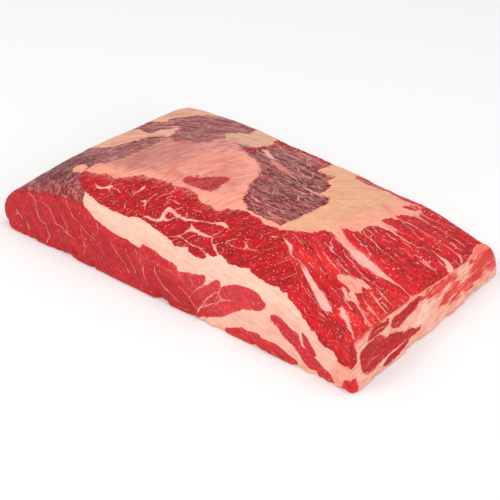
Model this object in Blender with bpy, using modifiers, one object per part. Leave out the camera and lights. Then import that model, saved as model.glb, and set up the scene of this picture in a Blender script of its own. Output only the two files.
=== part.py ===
"""Raw beef brisket: a trimmed slab of two muscles with a thick seam of fat between them.

The front of the slab is a clean cut that shows the layers. From the bottom they are
the flat muscle, the seam of fat that wraps its rounded end, and the point muscle.
A fat membrane and a cap of harder fat lie on the point, with a bare window of lean
between them. At the left the flat has no cover, and its dark top shows.

Lengths are in millimetres here, and MM turns them into metres when a mesh is made.
A place on the slab is given by x along its length, by its setback from the front
bottom edge, and by its height above the base.
"""

import bpy
import bmesh
import numpy as np
from mathutils import Matrix, Vector

MM = 0.001

# The box that the slab fills
LENGTH = 324.0
DEPTH = 176.0
HEIGHT = 63.0

# The bare space between one layer and the next
LAYER_GAP = 0.3

# Stations along the length, where the sections below are given
STATIONS = np.array([-150.0, -110.0, -60.0, 0.0, 60.0, 105.0, 150.0])

# The top of the slab, row by row from the front: the knee where the steep face ends,
# the ridge where the sloping cut ends, then the convex plateau down to the back edge
KNEE_SETBACK = np.array([8.0, 11.0, 12.0, 13.0, 12.0, 9.0, 5.0])
KNEE_HEIGHT = np.array([36.0, 41.0, 42.0, 42.0, 40.0, 37.0, 31.0])
RIDGE_SETBACK = np.array([30.0, 36.0, 44.0, 47.0, 44.0, 26.0, 14.0])
RIDGE_HEIGHT = np.array([38.0, 50.0, 60.0, 62.0, 60.0, 44.0, 33.0])
MIDDLE_HEIGHT = np.array([37.5, 46.0, 54.0, 56.0, 53.0, 43.0, 28.0])
REAR_HEIGHT = np.array([39.0, 44.0, 46.0, 47.0, 43.5, 38.0, 23.0])
BACK_HEIGHT = np.array([35.0, 38.5, 41.0, 38.5, 31.5, 33.0, 19.0])
BACK_SETBACK = 174.4
MIDDLE_SHARE = 0.5
REAR_SHARE = 0.8
BACK_STEEPNESS = 1.2

# The two ends in plan: both lean, and the left front corner bulges at half height
LEFT_FRONT = -153.0
LEFT_BACK = -129.0
RIGHT_FRONT = 154.0
RIGHT_BACK = 160.0
CORNER_BULGE = 13.0
CORNER_REACH = 48.0
BULGE_ALL_ALONG = 0.1
BULGE_FULLNESS = 0.8
LEFT_INSET = 4.0
RIGHT_INSET = 8.0
BACK_INSET = 3.0
FACE_CURVE = 1.2

# Where the cage of the slab is cut: shares of its length, its depth and its height
CAGE_COLUMNS = np.concatenate([[0.0, 0.02], np.linspace(0.07, 0.93, 19), [0.98, 1.0]])
CAGE_ROWS = np.array([0.0, 0.03, 0.12, 0.22, 0.32, 0.44, 0.56, 0.68, 0.80, 0.90, 0.97, 1.0])
RIDGE_ROW = 0.22
CAGE_LEVELS = np.array([0.0, 0.09, 0.38, 0.72, 1.0])

# How far the cutting forms of the layers reach beyond the slab
CUT_LEFT = -175.0
CUT_RIGHT = 175.0
CUT_FRONT = -15.0
CUT_BACK = 190.0
CUT_LID = 93.0

# Where those forms are cut: shares of their length and of their depth
FLAT_COLUMNS = np.concatenate([np.linspace(0.0, 0.9, 17), np.linspace(0.93, 1.0, 5)])
POINT_COLUMNS = np.linspace(0.0, 1.0, 21)
LAYER_ROWS = np.linspace(0.0, 1.0, 12)

# Top and underside of the flat muscle, and the place where its rounded end stops
FLAT_TOP_FRONT = np.array([36.0, 36.0, 32.0, 29.0, 37.0, 33.0, 20.0])
FLAT_TOP_BACK = np.array([30.0, 30.0, 26.0, 22.0, 20.0, 16.0, 10.0])
FLAT_LIFT_START = (26.0, 70.0)
FLAT_END = (78.0, 122.0)
FLAT_END_HEIGHT = (27.0, 10.0)
FLAT_END_ROUND = 16.0
FLAT_END_BLUNT = 0.98
FLAT_FLOOR = -12.0
FLAT_LIFT_FIRST = 0.35
FLAT_LIFT_RATE = 1.25
FLAT_LIFT_TOP = 0.85

# Underside of the point muscle at the front, the middle and the back of the slab
POINT_BASE_FRONT = np.array([48.0, 48.0, 45.0, 42.0, 46.0, 34.0, 15.0])
POINT_BASE_MIDDLE = np.array([44.0, 44.0, 38.0, 36.0, 38.0, 33.0, 26.0])
POINT_BASE_BACK = np.array([38.0, 38.0, 33.0, 27.0, 25.0, 20.0, 10.0])
POINT_BASE_SETBACKS = (15.0, 70.0, 174.4)

# Line on the top where the flat comes out from under the other layers
OUTCROP_SETBACK = np.array([10.0, 22.0, 31.0, 38.0, 50.0, 72.0, 105.0, 130.0, 148.0, 175.0])
OUTCROP_X = np.array([-91.0, -103.0, -118.0, -116.0, -109.0, -101.0, -96.0, -78.0, -61.0, -57.0])
OUTCROP_SLOPE = 0.38
SEAM_LEAST = 2.0
BLEND_WIDTH = 6.0

# Outlines in plan of the two sheets of fat on top, as x and setback, anticlockwise
MEMBRANE_OUTLINE = (
    (-98.0, 42.0), (-90.0, 40.0), (-78.0, 41.0), (-62.0, 46.0), (-40.0, 48.0), (-15.0, 50.0),
    (8.0, 44.0), (13.0, 60.0), (7.0, 84.0), (-4.0, 106.0), (-24.0, 121.0), (-33.0, 132.0),
    (-30.0, 150.0), (-28.0, 190.0), (-46.0, 190.0), (-50.0, 150.0), (-66.0, 130.0),
    (-84.0, 106.0), (-90.0, 74.0), (-96.0, 54.0),
)
CAP_OUTLINE = (
    (56.0, 55.0), (66.0, 60.0), (76.0, 78.0), (82.0, 98.0), (88.0, 120.0), (95.0, 150.0),
    (98.0, 190.0), (44.0, 190.0), (38.0, 150.0), (38.0, 134.0), (46.0, 120.0), (55.0, 108.0),
    (57.0, 90.0), (54.0, 72.0),
)
SHEET_RINGS = (0.3, 0.6, 0.85, 1.0)
SHEET_THICK = 5.0
SHEET_RIM = 2.0
SHEET_STEPS = 2

# Low swells that keep the top from being smooth: height, then waves in x and setback
SWELLS = ((0.9, 0.055, 0.031, 0.4), (0.6, -0.042, 0.083, 2.1), (0.4, 0.118, 0.064, 4.0))

# Colour (linear), roughness of each finish
FINISHES = {
    "flat_lean": ((0.61, 0.050, 0.054), 0.38),
    "point_lean": ((0.58, 0.024, 0.024), 0.36),
    "seam_fat": ((0.93, 0.60, 0.45), 0.45),
    "membrane": ((0.66, 0.32, 0.25), 0.50),
    "cap_fat": ((0.84, 0.47, 0.29), 0.48),
}


def hermite(share, width, low, high, low_slope, high_slope):
    """Cubic between two heights with a given slope at each end."""
    return (
        (2 * share**3 - 3 * share**2 + 1) * low
        + (share**3 - 2 * share**2 + share) * width * low_slope
        + (-2 * share**3 + 3 * share**2) * high
        + (share**3 - share**2) * width * high_slope
    )


def along(x, values):
    """Smooth curve through one value at each station."""
    x = np.clip(x, STATIONS[0], STATIONS[-1])
    left = np.clip(np.searchsorted(STATIONS, x, side="right") - 1, 0, len(STATIONS) - 2)
    width = STATIONS[left + 1] - STATIONS[left]
    share = (x - STATIONS[left]) / width
    slopes = np.gradient(values, STATIONS)
    return hermite(share, width, values[left], values[left + 1], slopes[left], slopes[left + 1])


def top_height(x, setback):
    """Height of the top of the slab, from the knee back to the rear edge."""
    ridge = along(x, RIDGE_SETBACK)
    rows = [
        along(x, KNEE_SETBACK),
        ridge,
        ridge + (BACK_SETBACK - ridge) * MIDDLE_SHARE,
        ridge + (BACK_SETBACK - ridge) * REAR_SHARE,
        np.full_like(ridge, BACK_SETBACK),
    ]
    sections = (KNEE_HEIGHT, RIDGE_HEIGHT, MIDDLE_HEIGHT, REAR_HEIGHT, BACK_HEIGHT)
    heights = [along(x, values) for values in sections]
    slopes = [(heights[1] - heights[0]) / (rows[1] - rows[0])]
    for row in range(1, 4):
        slopes.append((heights[row + 1] - heights[row - 1]) / (rows[row + 1] - rows[row - 1]))
    slopes.append(BACK_STEEPNESS * (heights[4] - heights[3]) / (rows[4] - rows[3]))
    result = heights[0]
    for row in range(4):
        width = rows[row + 1] - rows[row]
        share = np.clip((setback - rows[row]) / width, 0.0, 1.0)
        piece = hermite(
            share, width, heights[row], heights[row + 1], slopes[row], slopes[row + 1]
        )
        result = np.where(setback >= rows[row], piece, result)
    for size, wave_x, wave_setback, phase in SWELLS:
        result = result + size * np.sin(wave_x * x + wave_setback * setback + phase)
    return result


def slab_points(column, row, level):
    """Places on the slab for shares of its length, depth and height."""
    bottom_setback = row * BACK_SETBACK
    middle_x = LEFT_FRONT + (RIGHT_FRONT - LEFT_FRONT) * column
    knee = along(middle_x, KNEE_SETBACK)
    ridge = along(middle_x, RIDGE_SETBACK)
    last = BACK_SETBACK - BACK_INSET
    on_slope = knee + (ridge - knee) * row / RIDGE_ROW
    on_plateau = ridge + (last - ridge) * (row - RIDGE_ROW) / (1.0 - RIDGE_ROW)
    top_setback = np.where(row < RIDGE_ROW, on_slope, on_plateau)
    setback = bottom_setback + (top_setback - bottom_setback) * level**FACE_CURVE

    depth_share = setback / BACK_SETBACK
    near_corner = np.exp(-((setback / CORNER_REACH) ** 2))
    share = BULGE_ALL_ALONG + (1.0 - BULGE_ALL_ALONG) * near_corner
    bulge = CORNER_BULGE * share * np.sin(np.pi * level) ** BULGE_FULLNESS
    left = LEFT_FRONT + (LEFT_BACK - LEFT_FRONT) * depth_share + LEFT_INSET * level - bulge
    right = RIGHT_FRONT + (RIGHT_BACK - RIGHT_FRONT) * depth_share - RIGHT_INSET * level
    x = left + (right - left) * column
    height = level * top_height(x, top_setback)
    return np.stack([x, setback - BACK_SETBACK / 2.0, height], axis=1)


def smooth_highest(first, second, width):
    """The higher of two heights, with a soft corner where they cross."""
    share = np.clip(0.5 + 0.5 * (first - second) / width, 0.0, 1.0)
    return second + (first - second) * share + width * share * (1.0 - share)


def outcrop_height(x, setback, shift):
    """Sheet that dips to the right from the line where the flat comes out."""
    line = np.interp(setback, OUTCROP_SETBACK, OUTCROP_X) + shift
    return top_height(x, setback) + OUTCROP_SLOPE * (line - x)


def flat_top(x, setback):
    """Height of the upper side of the flat muscle."""
    share = np.clip(setback / BACK_SETBACK, 0.0, 1.0)
    deep = along(x, FLAT_TOP_FRONT) * (1.0 - share) + along(x, FLAT_TOP_BACK) * share
    return smooth_highest(deep, outcrop_height(x, setback, 0.0), BLEND_WIDTH)


def point_base(x, setback):
    """Height of the underside of the point muscle."""
    rows = [along(x, v) for v in (POINT_BASE_FRONT, POINT_BASE_MIDDLE, POINT_BASE_BACK)]
    front, middle, back = POINT_BASE_SETBACKS
    near = np.clip((setback - front) / (middle - front), 0.0, 1.0)
    far = np.clip((setback - middle) / (back - middle), 0.0, 1.0)
    deep = rows[0] * (1.0 - near) + rows[1] * near * (1.0 - far) + rows[2] * far
    deep = smooth_highest(deep, outcrop_height(x, setback, SEAM_LEAST), BLEND_WIDTH)
    return np.maximum(deep, flat_top(x, setback) + SEAM_LEAST)


def block_cage(columns, rows, levels):
    """A block from 0 to 1 on each side, cut by planes at the given shares."""
    cage = bmesh.new()
    bmesh.ops.create_cube(cage, size=1.0, matrix=Matrix.Translation((0.5, 0.5, 0.5)))
    for axis, cuts in enumerate((columns, rows, levels)):
        normal = Vector((0.0, 0.0, 0.0))
        normal[axis] = 1.0
        for cut in cuts[1:-1]:
            geometry = cage.verts[:] + cage.edges[:] + cage.faces[:]
            bmesh.ops.bisect_plane(cage, geom=geometry, plane_co=normal * cut, plane_no=normal)
    return cage


def shape_cage(cage, name, rule, split=False):
    """Move the points of a cage by a rule on their shares, and make its mesh.

    With split, each bent quad becomes two triangles, alike in every cage of one layout,
    so that two sheets a gap apart stay a gap apart.
    """
    shares = np.array([vertex.co[:] for vertex in cage.verts], dtype=float)
    places = rule(shares[:, 0], shares[:, 1], shares[:, 2]) * MM
    for vertex, place in zip(cage.verts, places):
        vertex.co = place
    if split:
        bmesh.ops.triangulate(cage, faces=cage.faces, quad_method="FIXED")
    bmesh.ops.recalc_face_normals(cage, faces=cage.faces)
    mesh = bpy.data.meshes.new(name)
    cage.to_mesh(mesh)
    cage.free()
    return mesh


def add_object(name, mesh, collection):
    """An object of the mesh in the collection."""
    item = bpy.data.objects.new(name, mesh)
    collection.objects.link(item)
    return item


def add_cutter(name, mesh, collection):
    """An object that only cuts others, shown as wires and never rendered."""
    item = add_object(name, mesh, collection)
    item.hide_render = True
    item.display_type = "WIRE"
    return item


def slab_mesh(guides):
    """The whole slab, softened from its cage and set in the box of the named size."""
    cage = shape_cage(block_cage(CAGE_COLUMNS, CAGE_ROWS, CAGE_LEVELS), "slab_cage", slab_points)
    guide = add_cutter("slab_guide", cage, guides)
    soften = guide.modifiers.new("soften", "SUBSURF")
    soften.levels = 1
    soften.render_levels = 1
    bpy.context.view_layer.update()
    evaluated = guide.evaluated_get(bpy.context.evaluated_depsgraph_get())
    mesh = bpy.data.meshes.new_from_object(evaluated)
    bpy.data.objects.remove(guide)

    places = np.empty(len(mesh.vertices) * 3)
    mesh.vertices.foreach_get("co", places)
    places = places.reshape(-1, 3)
    low = places.min(axis=0)
    high = places.max(axis=0)
    size = np.array([LENGTH, DEPTH, HEIGHT]) * MM
    middle = (low + high) / 2.0
    places = (places - middle) * size / (high - low)
    places[:, 2] += size[2] / 2.0
    mesh.vertices.foreach_set("co", places.ravel())
    mesh.update()
    return mesh


def flat_form(grow):
    """Rule for the solid between the underside and the top of the flat muscle."""
    def rule(column, row, level):
        setback = CUT_FRONT + (CUT_BACK - CUT_FRONT) * row
        share = np.clip(setback / BACK_SETBACK, 0.0, 1.0)
        end = FLAT_END[0] + (FLAT_END[1] - FLAT_END[0]) * share
        lift = FLAT_LIFT_START[0] + (FLAT_LIFT_START[1] - FLAT_LIFT_START[0]) * share
        tip = FLAT_END_HEIGHT[0] + (FLAT_END_HEIGHT[1] - FLAT_END_HEIGHT[0]) * share
        x = CUT_LEFT + (end - CUT_LEFT) * column
        rise = np.clip((x - lift) / (end - lift), 0.0, None)
        lifted = np.clip(rise * FLAT_LIFT_RATE + FLAT_LIFT_FIRST, 0.0, 1.0) * (rise > 0)
        under = FLAT_FLOOR + (FLAT_LIFT_TOP * tip - FLAT_FLOOR) * lifted
        over = flat_top(x, setback)
        turn = np.clip((x - end + FLAT_END_ROUND) / FLAT_END_ROUND, 0.0, 1.0)
        pull = 1.0 - np.sqrt(1.0 - np.minimum(turn, FLAT_END_BLUNT) ** 2)
        over = over + (tip - over) * pull + grow
        under = under + (tip - under) * pull - grow
        return np.stack(
            [x + grow * turn, setback - BACK_SETBACK / 2.0, under + (over - under) * level], axis=1
        )
    return rule


def above_point_base(grow):
    """Rule for the solid above the underside of the point muscle."""
    def rule(column, row, level):
        x = CUT_LEFT + (CUT_RIGHT - CUT_LEFT) * column
        setback = CUT_FRONT + (CUT_BACK - CUT_FRONT) * row
        base = point_base(x, setback) - grow
        return np.stack([x, setback - BACK_SETBACK / 2.0, base + (CUT_LID - base) * level], axis=1)
    return rule


def closed_curve(points, steps):
    """A smooth closed line through the points, with steps pieces to each stretch."""
    points = np.array(points)
    before = np.roll(points, 1, axis=0)
    after = np.roll(points, -1, axis=0)
    beyond = np.roll(points, -2, axis=0)
    line = []
    for start in range(len(points)):
        for step in range(steps):
            share = step / steps
            low_slope = (after[start] - before[start]) / 2.0
            high_slope = (beyond[start] - points[start]) / 2.0
            line.append(hermite(share, 1.0, points[start], after[start], low_slope, high_slope))
    return np.array(line)


def sheet_mesh(name, outline, grow):
    """Solid over a sheet of fat: its underside lies below the top of the slab.

    It is a fan of rings from the middle out to the outline, closed over by a lid.
    """
    line = closed_curve(outline, SHEET_STEPS)
    middle = line.mean(axis=0)
    reach = np.linalg.norm(line - middle, axis=1, keepdims=True)
    line = line + (line - middle) / reach * grow

    def underside(place, ring):
        depth = SHEET_RIM + (SHEET_THICK - SHEET_RIM) * (1.0 - ring**3) + grow
        setback = min(place[1], BACK_SETBACK)
        height = top_height(np.array([place[0]]), np.array([setback]))[0] - depth
        return Vector((place[0], place[1] - BACK_SETBACK / 2.0, height)) * MM

    solid = bmesh.new()
    centre = solid.verts.new(underside(middle, 0.0))
    rings = []
    for ring in SHEET_RINGS:
        places = middle + (line - middle) * ring
        rings.append([solid.verts.new(underside(place, ring)) for place in places])
    rings.append([solid.verts.new((v.co.x, v.co.y, CUT_LID * MM)) for v in rings[-1]])
    count = len(line)
    for spoke in range(count):
        following = (spoke + 1) % count
        solid.faces.new((centre, rings[0][following], rings[0][spoke]))
        for inner, outer in zip(rings, rings[1:]):
            solid.faces.new((inner[spoke], inner[following], outer[following], outer[spoke]))
    solid.faces.new(rings[-1])
    bmesh.ops.triangulate(solid, faces=solid.faces[:-1], quad_method="FIXED")
    bmesh.ops.recalc_face_normals(solid, faces=solid.faces)
    mesh = bpy.data.meshes.new(name)
    solid.to_mesh(mesh)
    solid.free()
    return mesh


def finish(name):
    """The plain material of a layer."""
    colour, roughness = FINISHES[name]
    material = bpy.data.materials.new(name)
    material.use_nodes = True
    shader = material.node_tree.nodes["Principled BSDF"]
    shader.inputs["Base Color"].default_value = (*colour, 1.0)
    shader.inputs["Roughness"].default_value = roughness
    shader.inputs["Metallic"].default_value = 0.0
    material.diffuse_color = (*colour, 1.0)
    return material


def layer(name, slab, material, collection, cuts):
    """One layer: a copy of the slab, cut by each (operation, cutter) in turn."""
    item = add_object(name, slab.copy(), collection)
    item.data.materials.append(material)
    for operation, cutter in cuts:
        cut = item.modifiers.new(cutter.name, "BOOLEAN")
        cut.operation = operation
        cut.object = cutter
        cut.solver = "EXACT"
    return item


def main():
    """Clear the scene and build the brisket."""
    for item in list(bpy.data.objects):
        bpy.data.objects.remove(item)
    parts = bpy.data.collections.new("raw_beef_brisket")
    cutters = bpy.data.collections.new("cutters")
    bpy.context.scene.collection.children.link(parts)
    bpy.context.scene.collection.children.link(cutters)

    slab = slab_mesh(cutters)
    half = LAYER_GAP / 2.0
    ends = np.array([0.0, 1.0])

    def solid_cutter(name, rule, cuts_along):
        mesh = shape_cage(block_cage(cuts_along, LAYER_ROWS, ends), name, rule, split=True)
        return add_cutter(name, mesh, cutters)

    flat_inner = solid_cutter("flat_inner", flat_form(-half), FLAT_COLUMNS)
    flat_outer = solid_cutter("flat_outer", flat_form(half), FLAT_COLUMNS)
    point_inner = solid_cutter("point_inner", above_point_base(-half), POINT_COLUMNS)
    point_outer = solid_cutter("point_outer", above_point_base(half), POINT_COLUMNS)
    sheets = {}
    for name, outline in (("membrane", MEMBRANE_OUTLINE), ("cap", CAP_OUTLINE)):
        sheets[name] = (
            add_cutter(name + "_inner", sheet_mesh(name + "_inner", outline, -half), cutters),
            add_cutter(name + "_outer", sheet_mesh(name + "_outer", outline, half), cutters),
        )

    def cover(name, sheet, material):
        cuts = [("INTERSECT", sheets[sheet][0]), ("DIFFERENCE", flat_outer)]
        layer(name, slab, finish(material), parts, cuts)

    take_sheets = [("DIFFERENCE", sheets["membrane"][1]), ("DIFFERENCE", sheets["cap"][1])]
    layer("flat_muscle", slab, finish("flat_lean"), parts, [("INTERSECT", flat_inner)])
    layer(
        "seam_fat", slab, finish("seam_fat"), parts,
        [("DIFFERENCE", flat_outer), ("DIFFERENCE", point_outer), *take_sheets],
    )
    layer(
        "point_muscle", slab, finish("point_lean"), parts,
        [("INTERSECT", point_inner), *take_sheets],
    )
    cover("membrane_fat", "membrane", "membrane")
    cover("cap_fat", "cap", "cap_fat")


main()
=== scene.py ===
"""Looks of a raw beef brisket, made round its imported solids.

The slab is made again from the sizes that its solids have, but fine enough to carry the
relief of cut meat. Each point of its surface gets a set of fields: how far it lies inside
fat, which strand of fat is near, the colours of its lean and its fat, how its fibres run.
They come from outlines and strands drawn on two charts, one of the long cut and the top,
one of the right end, and elsewhere from the layers themselves. Relief and finish both
read those fields. Then the slab is cut into its layers, and each stands for its solid.
Last, small flecks of fat are strewn over the cut lean.

Lengths are in millimetres until a mesh is made. On the chart of the cut, u is the place
along the slab and v is the setback from the front bottom edge plus the height. On the
chart of the right end, u is the place in depth and v is the setback from the right bottom
edge plus the height.
"""

import logging
import math
from dataclasses import dataclass
from enum import Enum
from typing import Callable, Optional, Sequence, Union

import bmesh
import bpy
import numpy as np
from mathutils import Matrix, Vector
from mathutils.geometry import delaunay_2d_cdt
from mathutils.kdtree import KDTree


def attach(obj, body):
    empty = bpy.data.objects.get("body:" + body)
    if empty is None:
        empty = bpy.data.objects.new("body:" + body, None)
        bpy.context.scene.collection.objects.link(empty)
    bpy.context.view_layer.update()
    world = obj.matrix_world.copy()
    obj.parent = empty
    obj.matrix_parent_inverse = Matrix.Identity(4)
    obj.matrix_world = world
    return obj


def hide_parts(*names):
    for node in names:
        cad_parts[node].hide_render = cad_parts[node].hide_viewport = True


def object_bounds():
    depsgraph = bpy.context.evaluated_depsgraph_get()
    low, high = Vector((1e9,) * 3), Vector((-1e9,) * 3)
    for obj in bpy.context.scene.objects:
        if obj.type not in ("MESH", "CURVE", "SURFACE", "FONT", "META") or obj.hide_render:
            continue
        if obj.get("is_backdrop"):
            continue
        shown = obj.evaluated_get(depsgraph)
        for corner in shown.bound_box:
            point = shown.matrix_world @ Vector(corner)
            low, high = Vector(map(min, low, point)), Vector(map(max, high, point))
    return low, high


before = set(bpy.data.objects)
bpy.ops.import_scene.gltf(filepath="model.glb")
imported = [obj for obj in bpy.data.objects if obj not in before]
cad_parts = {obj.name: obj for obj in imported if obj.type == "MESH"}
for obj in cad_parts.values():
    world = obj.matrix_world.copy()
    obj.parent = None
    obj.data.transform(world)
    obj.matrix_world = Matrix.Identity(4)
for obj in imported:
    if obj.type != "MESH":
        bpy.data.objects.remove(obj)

Array = np.ndarray
Point = tuple[float, float]
Knot = tuple[float, float, float]

MM = 0.001
BODY = "root"
CLOSE_ENOUGH = 1e-9
FAR_AWAY = 20.0
LEAST_SLOPE = 0.1

log = logging.getLogger("brisket")


def hermite(
    share: Array, width: Array, low: Array, high: Array, low_slope: Array, high_slope: Array
) -> Array:
    """Cubic between two values with a given slope at each end.

    Args:
        share: Where between the two, from 0 to 1.
        width: Distance between the two.
        low: Value at share 0.
        high: Value at share 1.
        low_slope: Slope at share 0.
        high_slope: Slope at share 1.

    Returns:
        The value at each share.
    """
    return (
        (2 * share**3 - 3 * share**2 + 1) * low
        + (share**3 - 2 * share**2 + share) * width * low_slope
        + (-2 * share**3 + 3 * share**2) * high
        + (share**3 - share**2) * width * high_slope
    )


def smooth_step(value: Array, low: float, high: float) -> Array:
    """Soft step from 0 at low to 1 at high."""
    share = np.clip((value - low) / (high - low), 0.0, 1.0)
    return share * share * (3.0 - 2.0 * share)


def smooth_highest(first: Array, second: Array, width: float) -> Array:
    """The higher of two heights, with a soft corner where they cross."""
    share = np.clip(0.5 + 0.5 * (first - second) / width, 0.0, 1.0)
    return second + (first - second) * share + width * share * (1.0 - share)


def blend(first: Array, second: Array, share: Array) -> Array:
    """First where share is 0, second where it is 1, for values or for rows of values."""
    if first.ndim == 2:
        share = share[:, None]
    return first + (second - first) * share


def between(pair: Sequence[float], share: Array) -> Array:
    """The value at a share of the way from the first of a pair to the second."""
    return pair[0] + (pair[1] - pair[0]) * share


def drawn_curve(points: Sequence[Sequence[float]], steps: int, closed: bool) -> Array:
    """A smooth line through points, with a number of steps to each stretch.

    Args:
        points: Points that the line passes, each with any number of values.
        steps: Steps to a stretch.
        closed: Whether the last point joins the first.

    Returns:
        The points of the line, one row each.
    """
    knots = np.array(points, dtype=float)
    if closed:
        before = np.roll(knots, 1, axis=0)
        after = np.roll(knots, -1, axis=0)
    else:
        before = np.vstack([knots[:1], knots[:-1]])
        after = np.vstack([knots[1:], knots[-1:]])
    slopes = (after - before) / 2.0
    ends = np.roll(knots, -1, axis=0)
    end_slopes = np.roll(slopes, -1, axis=0)
    stretches = len(knots) if closed else len(knots) - 1
    line = [
        hermite(step / steps, 1.0, knots[i], ends[i], slopes[i], end_slopes[i])
        for i in range(stretches)
        for step in range(steps)
    ]
    if not closed:
        line.append(knots[-1])
    return np.array(line)


@dataclass(frozen=True)
class Noise:
    """Smooth gradient noise in space, the same for the same seed."""

    seed: int
    slopes: int = 256
    gain: float = 1.6

    def at(self, places: Array) -> Array:
        """Noise from about -1 to 1 with one wave or so to a unit of length.

        Args:
            places: Points, one row each.

        Returns:
            The noise at each point.
        """
        draw = np.random.default_rng(self.seed)
        table = draw.permutation(self.slopes)
        slopes = draw.normal(size=(self.slopes, 3))
        slopes /= np.linalg.norm(slopes, axis=1, keepdims=True)
        cell = np.floor(places).astype(int)
        part = places - cell
        ease = part**3 * (part * (part * 6.0 - 15.0) + 10.0)
        total = np.zeros(len(places))
        for corner in np.ndindex(2, 2, 2):
            x, y, z = ((cell + corner) % self.slopes).T
            pick = table[(table[(table[x] + y) % self.slopes] + z) % self.slopes]
            weight = np.prod(np.where(corner, ease, 1.0 - ease), axis=1)
            total += weight * np.sum(slopes[pick] * (part - corner), axis=1)
        return total * self.gain

    def waves(self, places: Array, length: float) -> Array:
        """Noise whose waves have about the given length."""
        return self.at(places / length)


@dataclass(frozen=True)
class SlabForm:
    """Form of the slab and of its layers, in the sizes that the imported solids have."""

    stations: tuple = (-150.0, -110.0, -60.0, 0.0, 60.0, 105.0, 150.0)
    knee_setback: tuple = (8.0, 11.0, 12.0, 13.0, 12.0, 9.0, 5.0)
    knee_height: tuple = (36.0, 41.0, 42.0, 42.0, 40.0, 37.0, 31.0)
    ridge_setback: tuple = (30.0, 36.0, 44.0, 47.0, 44.0, 26.0, 14.0)
    ridge_height: tuple = (38.0, 50.0, 60.0, 62.0, 60.0, 44.0, 33.0)
    middle_height: tuple = (37.5, 46.0, 54.0, 56.0, 53.0, 43.0, 28.0)
    rear_height: tuple = (39.0, 44.0, 46.0, 47.0, 43.5, 38.0, 23.0)
    back_height: tuple = (35.0, 38.5, 41.0, 38.5, 31.5, 33.0, 19.0)
    back_setback: float = 174.4
    middle_share: float = 0.5
    rear_share: float = 0.8
    back_steepness: float = 1.2
    swells: tuple = ((0.9, 0.055, 0.031, 0.4), (0.6, -0.042, 0.083, 2.1), (0.4, 0.118, 0.064, 4.0))

    left_front: float = -153.0
    left_back: float = -129.0
    right_front: float = 154.0
    right_back: float = 160.0
    corner_bulge: float = 13.0
    corner_reach: float = 48.0
    bulge_all_along: float = 0.1
    bulge_fullness: float = 0.8
    left_inset: float = 4.0
    right_inset: float = 8.0
    back_inset: float = 3.0
    face_curve: float = 1.2
    ridge_row: float = 0.22

    flat_top_front: tuple = (36.0, 36.0, 32.0, 29.0, 37.0, 33.0, 20.0)
    flat_top_back: tuple = (30.0, 30.0, 26.0, 22.0, 20.0, 16.0, 10.0)
    point_base_front: tuple = (48.0, 48.0, 45.0, 42.0, 46.0, 34.0, 15.0)
    point_base_middle: tuple = (44.0, 44.0, 38.0, 36.0, 38.0, 33.0, 26.0)
    point_base_back: tuple = (38.0, 38.0, 33.0, 27.0, 25.0, 20.0, 10.0)
    point_base_setbacks: tuple = (15.0, 70.0, 174.4)
    outcrop_setback: tuple = (10.0, 22.0, 31.0, 38.0, 50.0, 72.0, 105.0, 130.0, 148.0, 175.0)
    outcrop_x: tuple = (-91.0, -103.0, -118.0, -116.0, -109.0, -101.0, -96.0, -78.0, -61.0, -57.0)
    outcrop_slope: float = 0.38
    seam_least: float = 2.0
    blend_width: float = 6.0
    flat_end: tuple = (78.0, 122.0)
    flat_lift: tuple = (26.0, 70.0)

    def along(self, x: Array, values: Sequence[float]) -> Array:
        """Smooth curve through one value at each station."""
        stations = np.array(self.stations)
        heights = np.array(values)
        x = np.clip(x, stations[0], stations[-1])
        left = np.clip(np.searchsorted(stations, x, side="right") - 1, 0, len(stations) - 2)
        width = stations[left + 1] - stations[left]
        share = (x - stations[left]) / width
        slopes = np.gradient(heights, stations)
        return hermite(share, width, heights[left], heights[left + 1], slopes[left], slopes[left + 1])

    def top_height(self, x: Array, setback: Array) -> Array:
        """Height of the top of the slab, from the knee back to the rear edge."""
        ridge = self.along(x, self.ridge_setback)
        rows = [
            self.along(x, self.knee_setback),
            ridge,
            ridge + (self.back_setback - ridge) * self.middle_share,
            ridge + (self.back_setback - ridge) * self.rear_share,
            np.full_like(ridge, self.back_setback),
        ]
        sections = (
            self.knee_height, self.ridge_height, self.middle_height, self.rear_height, self.back_height,
        )
        heights = [self.along(x, values) for values in sections]
        slopes = [(heights[1] - heights[0]) / (rows[1] - rows[0])]
        for row in range(1, 4):
            slopes.append((heights[row + 1] - heights[row - 1]) / (rows[row + 1] - rows[row - 1]))
        slopes.append(self.back_steepness * (heights[4] - heights[3]) / (rows[4] - rows[3]))
        result = heights[0]
        for row in range(4):
            width = rows[row + 1] - rows[row]
            share = np.clip((setback - rows[row]) / width, 0.0, 1.0)
            piece = hermite(share, width, heights[row], heights[row + 1], slopes[row], slopes[row + 1])
            result = np.where(setback >= rows[row], piece, result)
        for size, wave_x, wave_setback, phase in self.swells:
            result = result + size * np.sin(wave_x * x + wave_setback * setback + phase)
        return result

    def points(self, column: Array, row: Array, level: Array) -> Array:
        """Places on the slab for shares of its length, depth and height."""
        bottom_setback = row * self.back_setback
        middle_x = self.left_front + (self.right_front - self.left_front) * column
        knee = self.along(middle_x, self.knee_setback)
        ridge = self.along(middle_x, self.ridge_setback)
        last = self.back_setback - self.back_inset
        on_slope = knee + (ridge - knee) * row / self.ridge_row
        on_plateau = ridge + (last - ridge) * (row - self.ridge_row) / (1.0 - self.ridge_row)
        top_setback = np.where(row < self.ridge_row, on_slope, on_plateau)
        setback = bottom_setback + (top_setback - bottom_setback) * level**self.face_curve

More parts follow.
